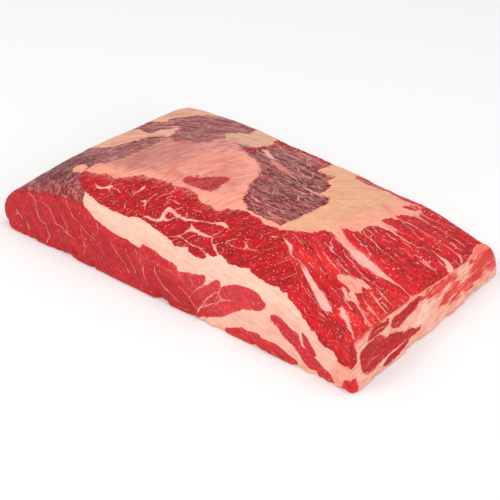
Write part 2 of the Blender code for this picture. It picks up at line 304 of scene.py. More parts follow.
        depth_share = setback / self.back_setback
        near_corner = np.exp(-((setback / self.corner_reach) ** 2))
        share = self.bulge_all_along + (1.0 - self.bulge_all_along) * near_corner
        bulge = self.corner_bulge * share * np.sin(np.pi * level) ** self.bulge_fullness
        left = self.left_front + (self.left_back - self.left_front) * depth_share
        left = left + self.left_inset * level - bulge
        right = self.right_front + (self.right_back - self.right_front) * depth_share
        right = right - self.right_inset * level
        x = left + (right - left) * column
        height = level * self.top_height(x, top_setback)
        return np.stack([x, setback - self.back_setback / 2.0, height], axis=1)

    def outcrop_height(self, x: Array, setback: Array, shift: float) -> Array:
        """Sheet that dips to the right from the line where the flat comes out."""
        line = np.interp(setback, self.outcrop_setback, self.outcrop_x) + shift
        return self.top_height(x, setback) + self.outcrop_slope * (line - x)

    def flat_top(self, x: Array, setback: Array) -> Array:
        """Height of the upper side of the flat muscle."""
        share = np.clip(setback / self.back_setback, 0.0, 1.0)
        front = self.along(x, self.flat_top_front)
        deep = front * (1.0 - share) + self.along(x, self.flat_top_back) * share
        return smooth_highest(deep, self.outcrop_height(x, setback, 0.0), self.blend_width)

    def point_base(self, x: Array, setback: Array) -> Array:
        """Height of the underside of the point muscle."""
        sections = (self.point_base_front, self.point_base_middle, self.point_base_back)
        rows = [self.along(x, values) for values in sections]
        front, middle, back = self.point_base_setbacks
        near = np.clip((setback - front) / (middle - front), 0.0, 1.0)
        far = np.clip((setback - middle) / (back - middle), 0.0, 1.0)
        deep = rows[0] * (1.0 - near) + rows[1] * near * (1.0 - far) + rows[2] * far
        sheet = self.outcrop_height(x, setback, self.seam_least)
        deep = smooth_highest(deep, sheet, self.blend_width)
        return np.maximum(deep, self.flat_top(x, setback) + self.seam_least)


@dataclass
class Skin:
    """The surface of the slab: its places, their outward normals, and its faces."""

    places: Array
    normals: Array
    faces: list


def mesh_of(name: str, places: Array, faces: Sequence[Sequence[int]]) -> bpy.types.Mesh:
    """A mesh from places in millimetres."""
    mesh = bpy.data.meshes.new(name)
    mesh.from_pydata((places * MM).tolist(), [], faces)
    mesh.update()
    return mesh


def places_of(mesh: bpy.types.Mesh) -> Array:
    """The places of a mesh in millimetres."""
    flat = np.empty(len(mesh.vertices) * 3)
    mesh.vertices.foreach_get("co", flat)
    return flat.reshape(-1, 3) / MM


def face_corners(mesh: bpy.types.Mesh) -> tuple[Array, Array, Array]:
    """Point of each face corner, face of each corner, and first corner of each face."""
    corners = np.empty(len(mesh.loops), dtype=int)
    mesh.loops.foreach_get("vertex_index", corners)
    sizes = np.empty(len(mesh.polygons), dtype=int)
    mesh.polygons.foreach_get("loop_total", sizes)
    return corners, np.repeat(np.arange(len(sizes)), sizes), np.cumsum(sizes) - sizes


def object_of(name: str, mesh: bpy.types.Mesh) -> bpy.types.Object:
    """An object of the mesh in the scene."""
    item = bpy.data.objects.new(name, mesh)
    bpy.context.scene.collection.objects.link(item)
    return item


def evaluated_mesh(item: bpy.types.Object) -> bpy.types.Mesh:
    """A new plain mesh of the object with its modifiers applied."""
    bpy.context.view_layer.update()
    graph = bpy.context.evaluated_depsgraph_get()
    return bpy.data.meshes.new_from_object(item.evaluated_get(graph))


def block_cage(columns: Array, rows: Array, levels: Array) -> bmesh.types.BMesh:
    """A block from 0 to 1 on each side, cut by planes at the given shares."""
    cage = bmesh.new()
    bmesh.ops.create_cube(cage, size=1.0, matrix=Matrix.Translation((0.5, 0.5, 0.5)))
    for axis, cuts in enumerate((columns, rows, levels)):
        normal = Vector((0.0, 0.0, 0.0))
        normal[axis] = 1.0
        for cut in cuts[1:-1]:
            geometry = cage.verts[:] + cage.edges[:] + cage.faces[:]
            bmesh.ops.bisect_plane(cage, geom=geometry, plane_co=normal * cut, plane_no=normal)
    return cage


def shape_cage(
    cage: bmesh.types.BMesh, name: str, rule: Callable[[Array, Array, Array], Array], split: bool
) -> bpy.types.Mesh:
    """Moves the points of a cage by a rule on their shares, and makes its mesh.

    Args:
        cage: The cage, which is freed.
        name: Name of the mesh.
        rule: Gives the places in millimetres from the three shares.
        split: Whether each bent quad becomes two triangles.

    Returns:
        The mesh.
    """
    shares = np.array([vertex.co[:] for vertex in cage.verts], dtype=float)
    places = rule(shares[:, 0], shares[:, 1], shares[:, 2]) * MM
    for vertex, place in zip(cage.verts, places):
        vertex.co = place
    if split:
        bmesh.ops.triangulate(cage, faces=cage.faces, quad_method="FIXED")
    bmesh.ops.recalc_face_normals(cage, faces=cage.faces)
    mesh = bpy.data.meshes.new(name)
    cage.to_mesh(mesh)
    cage.free()
    return mesh


@dataclass(frozen=True)
class SkinMaker:
    """Makes the fine surface of the slab from the coarse cage of its form."""

    form: SlabForm
    low: tuple
    high: tuple
    soften_levels: int = 4
    middle_columns: int = 19
    first_column: float = 0.07
    end_column: float = 0.02
    rows: tuple = (0.0, 0.03, 0.12, 0.22, 0.32, 0.44, 0.56, 0.68, 0.80, 0.90, 0.97, 1.0)
    levels: tuple = (0.0, 0.09, 0.38, 0.72, 1.0)
    underside_height: float = 0.01
    underside_step: float = 8.0
    underside_rim: float = 5.0

    def columns(self) -> Array:
        """Shares of the length where the cage is cut."""
        middle = np.linspace(self.first_column, 1.0 - self.first_column, self.middle_columns)
        return np.concatenate([[0.0, self.end_column], middle, [1.0 - self.end_column, 1.0]])

    def make(self) -> Skin:
        """The fine surface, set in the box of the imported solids."""
        cage = block_cage(self.columns(), self.rows, self.levels)
        guide = object_of("slab_guide", shape_cage(cage, "slab_cage", self.form.points, False))
        soften = guide.modifiers.new("soften", "SUBSURF")
        soften.levels = self.soften_levels
        soften.render_levels = self.soften_levels
        fine = evaluated_mesh(guide)
        bpy.data.objects.remove(guide)

        places = places_of(fine)
        low, high = places.min(axis=0), places.max(axis=0)
        share = (places - low) / (high - low)
        places = np.array(self.low) + share * (np.array(self.high) - np.array(self.low))
        fine.vertices.foreach_set("co", (places * MM).ravel())
        fine.update()
        normals = np.empty(len(places) * 3)
        fine.vertex_normals.foreach_get("vector", normals)
        quads = face_corners(fine)[0].reshape(-1, 4)
        bpy.data.meshes.remove(fine)
        return self.with_plain_underside(places, normals.reshape(-1, 3), quads)

    def with_plain_underside(self, places: Array, normals: Array, quads: Array) -> Skin:
        """Trades the fine faces of the flat underside for few large ones.

        Args:
            places: Places of the fine surface.
            normals: Normal at each place.
            quads: Faces of the fine surface, four corners each.

        Returns:
            The surface with its plain underside.
        """
        on_floor = places[:, 2] < self.underside_height
        under = on_floor[quads].all(axis=1)
        rim = np.zeros(len(places), dtype=bool)
        rim[quads[~under].ravel()] = True
        gone = under & ~rim[quads].any(axis=1)
        kept = quads[~gone]
        used = np.zeros(len(places), dtype=bool)
        used[kept.ravel()] = True

        edges = np.concatenate([quads[gone][:, [i, (i + 1) % 4]] for i in range(4)])
        ordered = np.sort(edges, axis=1)
        found, first, counts = np.unique(ordered, axis=0, return_index=True, return_counts=True)
        border = edges[first[counts == 1]]
        border_points = np.unique(border)
        tree = KDTree(len(border_points))
        for number in border_points:
            tree.insert(places[number], number)
        tree.balance()
        inner = []
        cells = set()
        for number in np.flatnonzero(on_floor & ~used):
            cell = tuple(np.round(places[number, :2] / self.underside_step).astype(int))
            if cell not in cells and tree.find(places[number])[2] > self.underside_rim:
                cells.add(cell)
                inner.append(number)

        numbers = np.concatenate([border_points, np.array(inner, dtype=int)])
        where = {number: position for position, number in enumerate(numbers)}
        spots = [Vector(places[number, :2]) for number in numbers]
        lines = [(where[a], where[b]) for a, b in border]
        found, _, triangles, origins, _, _ = delaunay_2d_cdt(spots, lines, [], 1, CLOSE_ENOUGH)
        back = [numbers[origin[0]] for origin in origins]
        faces = []
        for triangle in triangles:
            a, b, c = (found[corner] for corner in triangle)
            turn = (b - a).cross(c - a)
            order = triangle if turn < 0.0 else triangle[::-1]
            faces.append(tuple(back[corner] for corner in order))

        used[numbers] = True
        renumber = np.cumsum(used) - 1
        joined = [tuple(renumber[list(face)].tolist()) for face in faces]
        joined += renumber[kept].tolist()
        return Skin(places[used], normals[used], joined)


class Tissue(Enum):
    """The tissue that an outline bounds, or the one that it only tints."""

    LEAN = "lean"
    FAT = "fat"
    LEAN_TINT = "tint of the lean"
    FAT_TINT = "tint of the fat"

    def is_lean(self) -> bool:
        """Whether the outline colours lean."""
        return self in (Tissue.LEAN, Tissue.LEAN_TINT)


class Hue(Enum):
    """Colours of the meat in even light, in steps of 0 to 255, with a few that also paint glints and a
    highlight.
    """

    FLAT_CUT = (200, 36, 43)
    FLAT_LOBE = (224, 60, 63)
    ISLAND = (218, 42, 47)
    POINT_DARK = (197, 6, 14)
    POINT_MID = (194, 8, 16)
    STREAK = (214, 18, 27)
    BRIGHT = (232, 38, 36)
    BARE_TOP = (154, 66, 71)
    BARE_LOW = (160, 24, 31)
    BARE_DARK = (118, 34, 42)
    BARE_RED = (180, 66, 68)
    WINDOW = (140, 32, 44)
    ISLET = (196, 46, 52)
    BACK_RED = (180, 44, 50)
    END_LEAN = (200, 16, 26)
    SEAM = (255, 207, 185)
    BRANCH = (250, 188, 174)
    LOW_FAT = (255, 194, 171)
    CORNER_FAT = (255, 170, 150)
    GREY_SKIN = (212, 132, 117)
    SKIN = (222, 142, 125)
    PINK_SKIN = (242, 154, 133)
    SALMON = (252, 167, 142)
    ORANGE_LEFT = (236, 174, 144)
    ORANGE_BACK = (232, 176, 146)
    CAP = (241, 178, 138)
    CAP_MARGIN = (253, 172, 146)
    RIM_PINK = (252, 126, 108)
    END_FAT = (254, 184, 160)
    BLUSH = (232, 66, 58)
    # Pale fat of the flecks; on the lean it also stands for painted glints of wet fibres
    FLECK_AND_GLINT = (247, 190, 182)
    # Pale streaks of dry skin, partly the skin's own colour and partly painted glints on its wrinkles
    DRY_STREAK_AND_GLINT = (216, 156, 144)
    PALE_STREAK = (244, 196, 180)
    # Painted highlight: a brighter red along the upper edge of the flat's cut, where light catches the edge
    FLAT_RIM_HIGHLIGHT = (216, 40, 46)

    def linear(self) -> Array:
        """The colour in linear light."""
        share = np.array(self.value) / 255.0
        return np.where(share <= 0.04045, share / 12.92, ((share + 0.055) / 1.055) ** 2.4)


@dataclass(frozen=True)
class StraightGrain:
    """Fibres that all run one way on a chart."""

    angle: float

    def run(self, spots: Array) -> tuple[Array, Array]:
        """Places along and across the fibres, and the slope of each fibre.

        Args:
            spots: Places on the chart.

        Returns:
            The coordinates along and across, and the unit course, one row each.
        """
        turn = math.radians(self.angle)
        course = np.array([math.cos(turn), math.sin(turn)])
        across = np.array([-course[1], course[0]])
        places = np.stack([spots @ course, spots @ across], axis=1)
        return places, np.broadcast_to(course, spots.shape)


@dataclass(frozen=True)
class GuidedGrain:
    """Fibres that run between guide lines drawn from low to high on a chart."""

    guides: tuple
    spread: float = 18.0
    stretch: float = 1.15
    slope_step: float = 2.0

    def level(self, spots: Array) -> Array:
        """Which guide a place lies on, with parts between one guide and the next."""
        lines = [
            np.interp(spots[:, 0], [p[0] for p in guide], [p[1] for p in guide])
            for guide in self.guides
        ]
        level = np.zeros(len(spots))
        for number, (low, high) in enumerate(zip(lines, lines[1:])):
            share = (spots[:, 1] - low) / np.maximum(high - low, self.slope_step)
            level = np.where(share > 0.0, number + np.minimum(share, 1.0), level)
        over = np.maximum(spots[:, 1] - lines[-1], 0.0) + np.minimum(spots[:, 1] - lines[0], 0.0)
        return level + over / self.spread

    def run(self, spots: Array) -> tuple[Array, Array]:
        """Places along and across the fibres, and the slope of each fibre.

        Args:
            spots: Places on the chart.

        Returns:
            The coordinates along and across, and the unit course, one row each.
        """
        level = self.level(spots)
        right = self.level(spots + [self.slope_step, 0.0]) - level
        above = self.level(spots + [0.0, self.slope_step]) - level
        course = np.stack([above, -right], axis=1)
        course /= np.maximum(np.linalg.norm(course, axis=1, keepdims=True), CLOSE_ENOUGH)
        return np.stack([spots[:, 0] * self.stretch, level * self.spread], axis=1), course


@dataclass(frozen=True)
class RingGrain:
    """Fibres that bend round a place on a chart."""

    centre: tuple
    mean_radius: float = 80.0

    def run(self, spots: Array) -> tuple[Array, Array]:
        """Places along and across the fibres, and the slope of each fibre.

        Args:
            spots: Places on the chart.

        Returns:
            The coordinates along and across, and the unit course, one row each.
        """
        away = spots - self.centre
        radius = np.maximum(np.linalg.norm(away, axis=1), CLOSE_ENOUGH)
        turn = np.arctan2(away[:, 0], away[:, 1])
        course = np.stack([away[:, 1], -away[:, 0]], axis=1) / radius[:, None]
        return np.stack([turn * self.mean_radius, -radius], axis=1), course


Grain = Union[StraightGrain, GuidedGrain, RingGrain]


@dataclass(frozen=True)
class Patch:
    """A stretch of one tissue, drawn by its outline on a chart."""

    tissue: Tissue
    hue: Hue
    outline: tuple
    soft: float = 0.8
    film: Optional[float] = None
    marble: Optional[float] = None
    sunk: Optional[float] = None
    grain: Optional[Grain] = None
    ragged: float = 0.0

    def depth(self, spots: Array, reach: float = 9.0) -> Array:
        """How far each spot lies inside the outline; negative outside.

        Args:
            spots: Places on the chart.
            reach: The farthest distance outside that is told apart.

        Returns:
            The distance to the outline, with its sign.
        """
        line = drawn_curve(self.outline, 2, True)
        depth = np.full(len(spots), -reach)
        near = np.all((spots > line.min(axis=0) - reach) & (spots < line.max(axis=0) + reach), axis=1)
        close = spots[near]
        nearest = np.full(len(close), np.inf)
        inside = np.zeros(len(close), dtype=bool)
        for start, end in zip(line, np.roll(line, -1, axis=0)):
            span = end - start
            away = close - start
            share = np.clip(away @ span / max(span @ span, CLOSE_ENOUGH), 0.0, 1.0)
            gap = away - share[:, None] * span
            nearest = np.minimum(nearest, np.sum(gap * gap, axis=1))
            crossed = (start[1] > close[:, 1]) != (end[1] > close[:, 1])
            if start[1] != end[1]:
                crossing = start[0] + (close[:, 1] - start[1]) * span[0] / span[1]
                inside ^= crossed & (close[:, 0] < crossing)
        depth[near] = np.where(inside, 1.0, -1.0) * np.sqrt(nearest)
        return np.maximum(depth, -reach)


@dataclass
class Fields:
    """What each point of the meat is: one value or one row a point.

    share is the distance inside fat, side and far place the nearest fine strand of fat in
    half-widths, lean and fat are colours, film is how far a dry skin covers the point,
    marble how much fat lies between the fibres, sunk how far the surface lies low, fibre
    the place along and across the fibres and the number of their bundle, and course the
    way they run, first on the chart and then in space.
    """

    share: Array
    side: Array
    far: Array
    lean: Array
    fat: Array
    film: Array
    marble: Array
    sunk: Array
    fibre: Array
    course: Array

    @classmethod
    def plain(cls, count: int, share: float, lean: Hue, fat: Hue) -> "Fields":
        """Fields that are the same all over.

        Args:
            count: Number of points.
            share: Distance inside fat.
            lean: Colour of the lean.
            fat: Colour of the fat.

        Returns:
            The fields.
        """
        none = np.zeros(count)
        return cls(
            none + share, none + FAR_AWAY, none + FAR_AWAY, np.tile(lean.linear(), (count, 1)),
            np.tile(fat.linear(), (count, 1)), none.copy(), none.copy(), none.copy(),
            np.zeros((count, 3)), np.tile([1.0, 0.0], (count, 1)),
        )

    def turned(self, normals: Array, first: Array, second: Array) -> "Fields":
        """These fields with their courses laid on the surface in space.

        Args:
            normals: Outward normals.
            first: Direction in which the first chart coordinate grows.
            second: Direction whose part along the surface makes the second one grow.

        Returns:
            The same fields, changed.
        """
        across = np.cross(np.broadcast_to(first, normals.shape), normals)
        across *= np.sign(across @ second)[:, None]
        across /= np.maximum(np.abs(across @ second), LEAST_SLOPE)[:, None]
        course = self.course[:, :1] * first + self.course[:, 1:] * across
        course -= np.sum(course * normals, axis=1, keepdims=True) * normals
        self.course = course / np.maximum(np.linalg.norm(course, axis=1, keepdims=True), CLOSE_ENOUGH)
        return self

    def mixed(self, other: "Fields", share: Array) -> "Fields":
        """These fields where share is 0 and the other ones where it is 1."""
        soft = {
            name: blend(getattr(self, name), getattr(other, name), share)
            for name in ("share", "lean", "fat", "film", "marble", "sunk")
        }
        hard = {
            name: np.where(
                (share > 0.5) if getattr(self, name).ndim == 1 else (share > 0.5)[:, None],
                getattr(other, name), getattr(self, name),
            )
            for name in ("side", "far", "fibre", "course")
        }
        return Fields(**soft, **hard)


@dataclass(frozen=True)
class Drawing:
    """Patches and strands of tissue drawn on one chart, later ones over earlier ones."""

    ground: Tissue
    lean: Hue
    fat: Hue
    grain: Grain
    patches: tuple
    strands: tuple
    thick: float = 0.9
    thin_loss: float = 2.0
    end_reach: float = 0.7
    fineness: float = 0.5
    fullness: float = 0.88
    fine_range: tuple = (0.6, 3.0)
    least_half: float = 0.15
    solid_half: float = 0.6
    strand_reach: float = 4.0
    shred: tuple = (11.0, 2.2, 1.0)
    shred_seed: int = 81

    def fields(self, spots: Array) -> Fields:
        """Fields of the drawing at spots of its chart."""
        inside = -FAR_AWAY if self.ground is Tissue.LEAN else FAR_AWAY
        result = Fields.plain(len(spots), inside, self.lean, self.fat)
        self.lay_grain(result, spots, np.ones(len(spots), dtype=bool), self.grain, 0)
        for number, patch in enumerate(self.patches):
            self.lay_patch(result, spots, patch, number + 1)
        nearest = np.full(len(spots), np.inf)
        for strand in self.strands:
            self.lay_strand(result, spots, strand, nearest)
        return result

    def lay_grain(self, result: Fields, spots: Array, where: Array, grain: Grain, bundle: int) -> None:
        """Writes the run of a grain at some of the spots.

        Args:
            result: Fields to write.
            spots: Places on the chart.
            where: Which spots to write.
            grain: The grain.
            bundle: Number of the bundle of fibres.
        """
        places, course = grain.run(spots[where])
        result.fibre[where, :2] = places
        result.fibre[where, 2] = bundle
        result.course[where] = course

    def lay_patch(self, result: Fields, spots: Array, patch: Patch, bundle: int) -> None:
        """Lays one patch over what is drawn so far.

        Args:
            result: Fields to write.
            spots: Places on the chart.
            patch: The patch.
            bundle: Number of the patch's bundle of fibres.
        """
        depth = patch.depth(spots)
        if patch.ragged:
            depth = depth + patch.ragged * Noise(self.shred_seed).at(result.fibre / self.shred)
        cover = smooth_step(depth, -patch.soft, patch.soft)
        if patch.tissue is Tissue.FAT:
            result.share = np.maximum(result.share, depth)
        if patch.tissue is Tissue.LEAN:
            result.share = np.minimum(result.share, -depth)
        name = "lean" if patch.tissue.is_lean() else "fat"
        setattr(result, name, blend(getattr(result, name), patch.hue.linear()[None, :], cover))
        for name in ("film", "marble", "sunk"):
            value = getattr(patch, name)
            if value is not None:
                mixed = getattr(result, name)
                setattr(result, name, mixed + (value - mixed) * cover)
        if patch.grain is not None:
            self.lay_grain(result, spots, depth > 0.0, patch.grain, bundle)

    def lay_strand(self, result: Fields, spots: Array, strand: Sequence[Knot], nearest: Array) -> None:
        """Lays one strand of fat over what is drawn so far.

        Args:
            result: Fields to write.
            spots: Places on the chart.
            strand: Knots of the strand: two places and the half-width.
            nearest: Gap from each spot to the nearest strand so far, which is updated.
        """
        line = drawn_curve(strand, 2, False)
        reach = self.strand_reach + line[:, 2].max()
        low, high = line[:, :2].min(axis=0) - reach, line[:, :2].max(axis=0) + reach
        near = np.flatnonzero(np.all((spots > low) & (spots < high), axis=1))
        close = spots[near]
        for start, end in zip(line, line[1:]):
            span = (end - start)[:2]
            away = close - start[:2]
            share = np.clip(away @ span / max(span @ span, CLOSE_ENOUGH), 0.0, 1.0)
            gap = np.linalg.norm(away - share[:, None] * span, axis=1)
            half = np.maximum(start[2] + share * (end[2] - start[2]), self.least_half)
            spare = self.fullness - self.fineness
            half = half * (self.fineness + spare * smooth_step(half, *self.fine_range))
            thick = half - gap - self.thin_loss * np.maximum(self.thick - half, 0.0)
            thick = np.where(half > self.solid_half, thick, -FAR_AWAY)
            result.share[near] = np.maximum(result.share[near], thick)
            better = gap - half < nearest[near]
            hit = near[better]
            nearest[hit] = (gap - half)[better]
            turn = np.sign(span[0] * away[:, 1] - span[1] * away[:, 0])
            result.side[hit] = (turn * gap / half)[better]
            result.far[hit] = ((gap - self.end_reach) / half)[better]


STREAK_GRAIN = GuidedGrain((
    ((80, 60), (118, 36), (148, 18)),
    ((62, 105), (100, 68), (148, 38)),
    ((76, 118), (105, 95), (148, 70)),
    ((80, 135), (110, 120), (148, 105)),
    ((88, 165), (148, 150)),
    ((98, 200), (148, 190)),
))
FLAT_GRAIN = StraightGrain(-48.0)
POINT_GRAIN = StraightGrain(56.0)
ISLAND_GRAIN = StraightGrain(-25.0)
WINDOW_GRAIN = StraightGrain(-4.0)
BARE_GRAIN = StraightGrain(72.0)
ROUND_GRAIN = RingGrain((-45.0, 85.0))
SEAM_GRAIN = StraightGrain(-6.0)
END_GRAIN = StraightGrain(8.0)

# Upper edge of the flat on the cut, from the left to its rounded end, and round that end
FLAT_EDGE = (
    (-93, 62), (-91, 56), (-88, 52), (-80, 47), (-74, 44.5), (-66, 42), (-60, 40.5), (-50, 40),
    (-40, 39), (-34, 39), (-32, 42.5), (-28, 43), (-20, 41.5), (-12, 39.5), (-4, 38.5), (0, 37.5),
    (2, 34), (5, 35), (10, 36.5), (15, 37), (20, 39), (24, 40.5), (26.5, 37), (24.5, 31),
    (30, 36), (34, 41), (37.5, 40.5), (38.5, 36), (41, 39), (45, 42.5), (50, 45), (55, 47),
    (62, 47.5), (68, 46.5), (72, 44), (76, 41), (77, 37.5), (74.5, 33.5), (70, 30.5), (65, 29),
    (60, 27), (56, 24), (52, 19.5), (48, 15), (44, 12), (40, 9.5), (36, 7), (30, 4), (26, 2),
    (20, -2),
)
# Underside of the point on the cut, from the right end back to the left
POINT_EDGE = (
    (160, 18), (150, 20), (146, 21), (142, 20), (139, 22), (136, 27), (133, 28), (126, 28.5),
    (122, 32), (118.5, 37), (116, 36), (112, 39.5), (108, 42.5), (104, 46), (100, 49), (94, 53),
    (91.5, 54), (89, 57), (87, 58.5), (85, 57), (82, 58), (80, 60.5), (77, 59), (74, 58),
    (70, 58.5), (64, 59.5), (58, 61), (53.5, 64), (50, 62), (46, 61), (44, 61.5), (40, 60),
    (36, 61.5), (33, 63), (30, 63.5), (28, 61.3), (26, 59.8), (23, 59.3), (20, 60.5), (20.8, 57),
    (20, 55), (16, 53.5), (10, 53.6), (6, 55), (3.5, 58.5), (1, 56), (-4, 54.8), (-9, 55.6),
    (-13, 58), (-16, 59.5), (-20, 60), (-28, 61.5),
    (-36, 63), (-42, 64.5), (-47, 63.5), (-52, 61.5), (-58, 60), (-66, 60), (-73, 60.5),
    (-80, 61), (-85, 63), (-90, 65), (-94, 65.5),
)
SEAM_OUTLINE = FLAT_EDGE + ((20, -12), (90, -14), (160, -12)) + POINT_EDGE

# Ridge where the sloping cut of the point meets the top, from the left to the right
RIDGE_LINE = (
    (-114, 80), (-110, 86), (-104, 86.5), (-98, 88), (-94, 89), (-91, 91.5), (-87, 92.5),
    (-84, 91), (-80, 91.5), (-77, 94), (-72, 98), (-68, 102), (-63, 105), (-57, 105.5),
    (-52, 108), (-46, 109.5), (-40, 110), (-34, 108.5), (-31, 109), (-27, 111), (-22, 110.5),
    (-14, 110), (-12, 107), (-8, 104.5), (-3, 104), (2, 103.5), (6, 102), (9, 102.5),
    (10, 107), (13, 108.5), (17, 109), (20, 112), (26, 113.5), (33, 113), (38, 112.5),
    (41, 110), (46, 109), (50, 110.5), (55, 110), (58, 113), (62, 116), (66, 117.5), (69, 120),
    (72, 125), (74, 129), (76, 130.5),
)
FLAT_CUT_EDGE = (
    (-170, 34), (-158, 38), (-150, 40), (-143, 41), (-139, 43.5), (-134, 45), (-128, 47.5),
    (-121, 49.5), (-114, 50.5), (-107, 52), (-101, 53), (-95, 53.5), (-91.5, 55),
)
BARE_EDGE = (
    (-91.5, 57), (-93, 62), (-96, 66), (-100, 69), (-105, 72), (-110, 76), (-114, 79.5),
    (-113, 84), (-110, 87), (-110, 97), (-108, 101),
)
BAND_EDGE = (
    (-100, 110), (-98, 118), (-97, 130), (-95, 145), (-97, 157), (-92, 160), (-84, 160),
    (-78, 163), (-72, 165), (-66, 168), (-62, 176), (-60, 184), (-50, 184), (-38, 180),
)
WINDOW_OUTLINE = (
    (24, 116), (30, 116.5), (36, 116), (41, 115.5), (45, 116), (50, 115), (52, 114.5), (53, 118),
    (54.5, 125), (55.5, 135), (56.5, 145), (57, 152), (56.5, 158), (54.5, 163), (51, 166),
    (47, 164.5), (45, 165), (44.5, 170), (43, 176), (41, 181), (36, 181), (35, 186),
    (34.5, 191), (28, 192), (20, 191), (18.5, 195), (15, 199), (15.5, 204), (12, 210),
    (-35, 216), (-34, 205), (-31, 199), (-31, 186), (-40, 184), (-38, 180), (-30, 178),
    (-26, 175), (-16, 173), (-10, 169), (-5, 163), (-3, 159), (1, 153), (2, 147), (6, 141),
    (9, 137), (12, 131), (13, 126), (16, 122.5), (20, 121.5), (23, 119),
)
CAP_EDGE = (
    (80, 130.5), (85, 127), (92, 123), (97, 122), (100, 125), (96, 127.5), (90, 131),
    (86, 134.5), (81, 137.5), (83, 140), (88, 143), (92, 146.5), (89, 148), (90, 153),
    (91, 157), (95, 158.5), (101, 160), (103, 163.5), (96, 165), (91.5, 166.5), (91.5, 172),
    (97, 176), (93.5, 178), (93.5, 181), (96, 184.5), (100, 186), (102, 188.5), (101, 191),
    (96, 200), (88, 199), (70, 201), (56, 200), (42, 202), (38, 216), (10, 216),
)

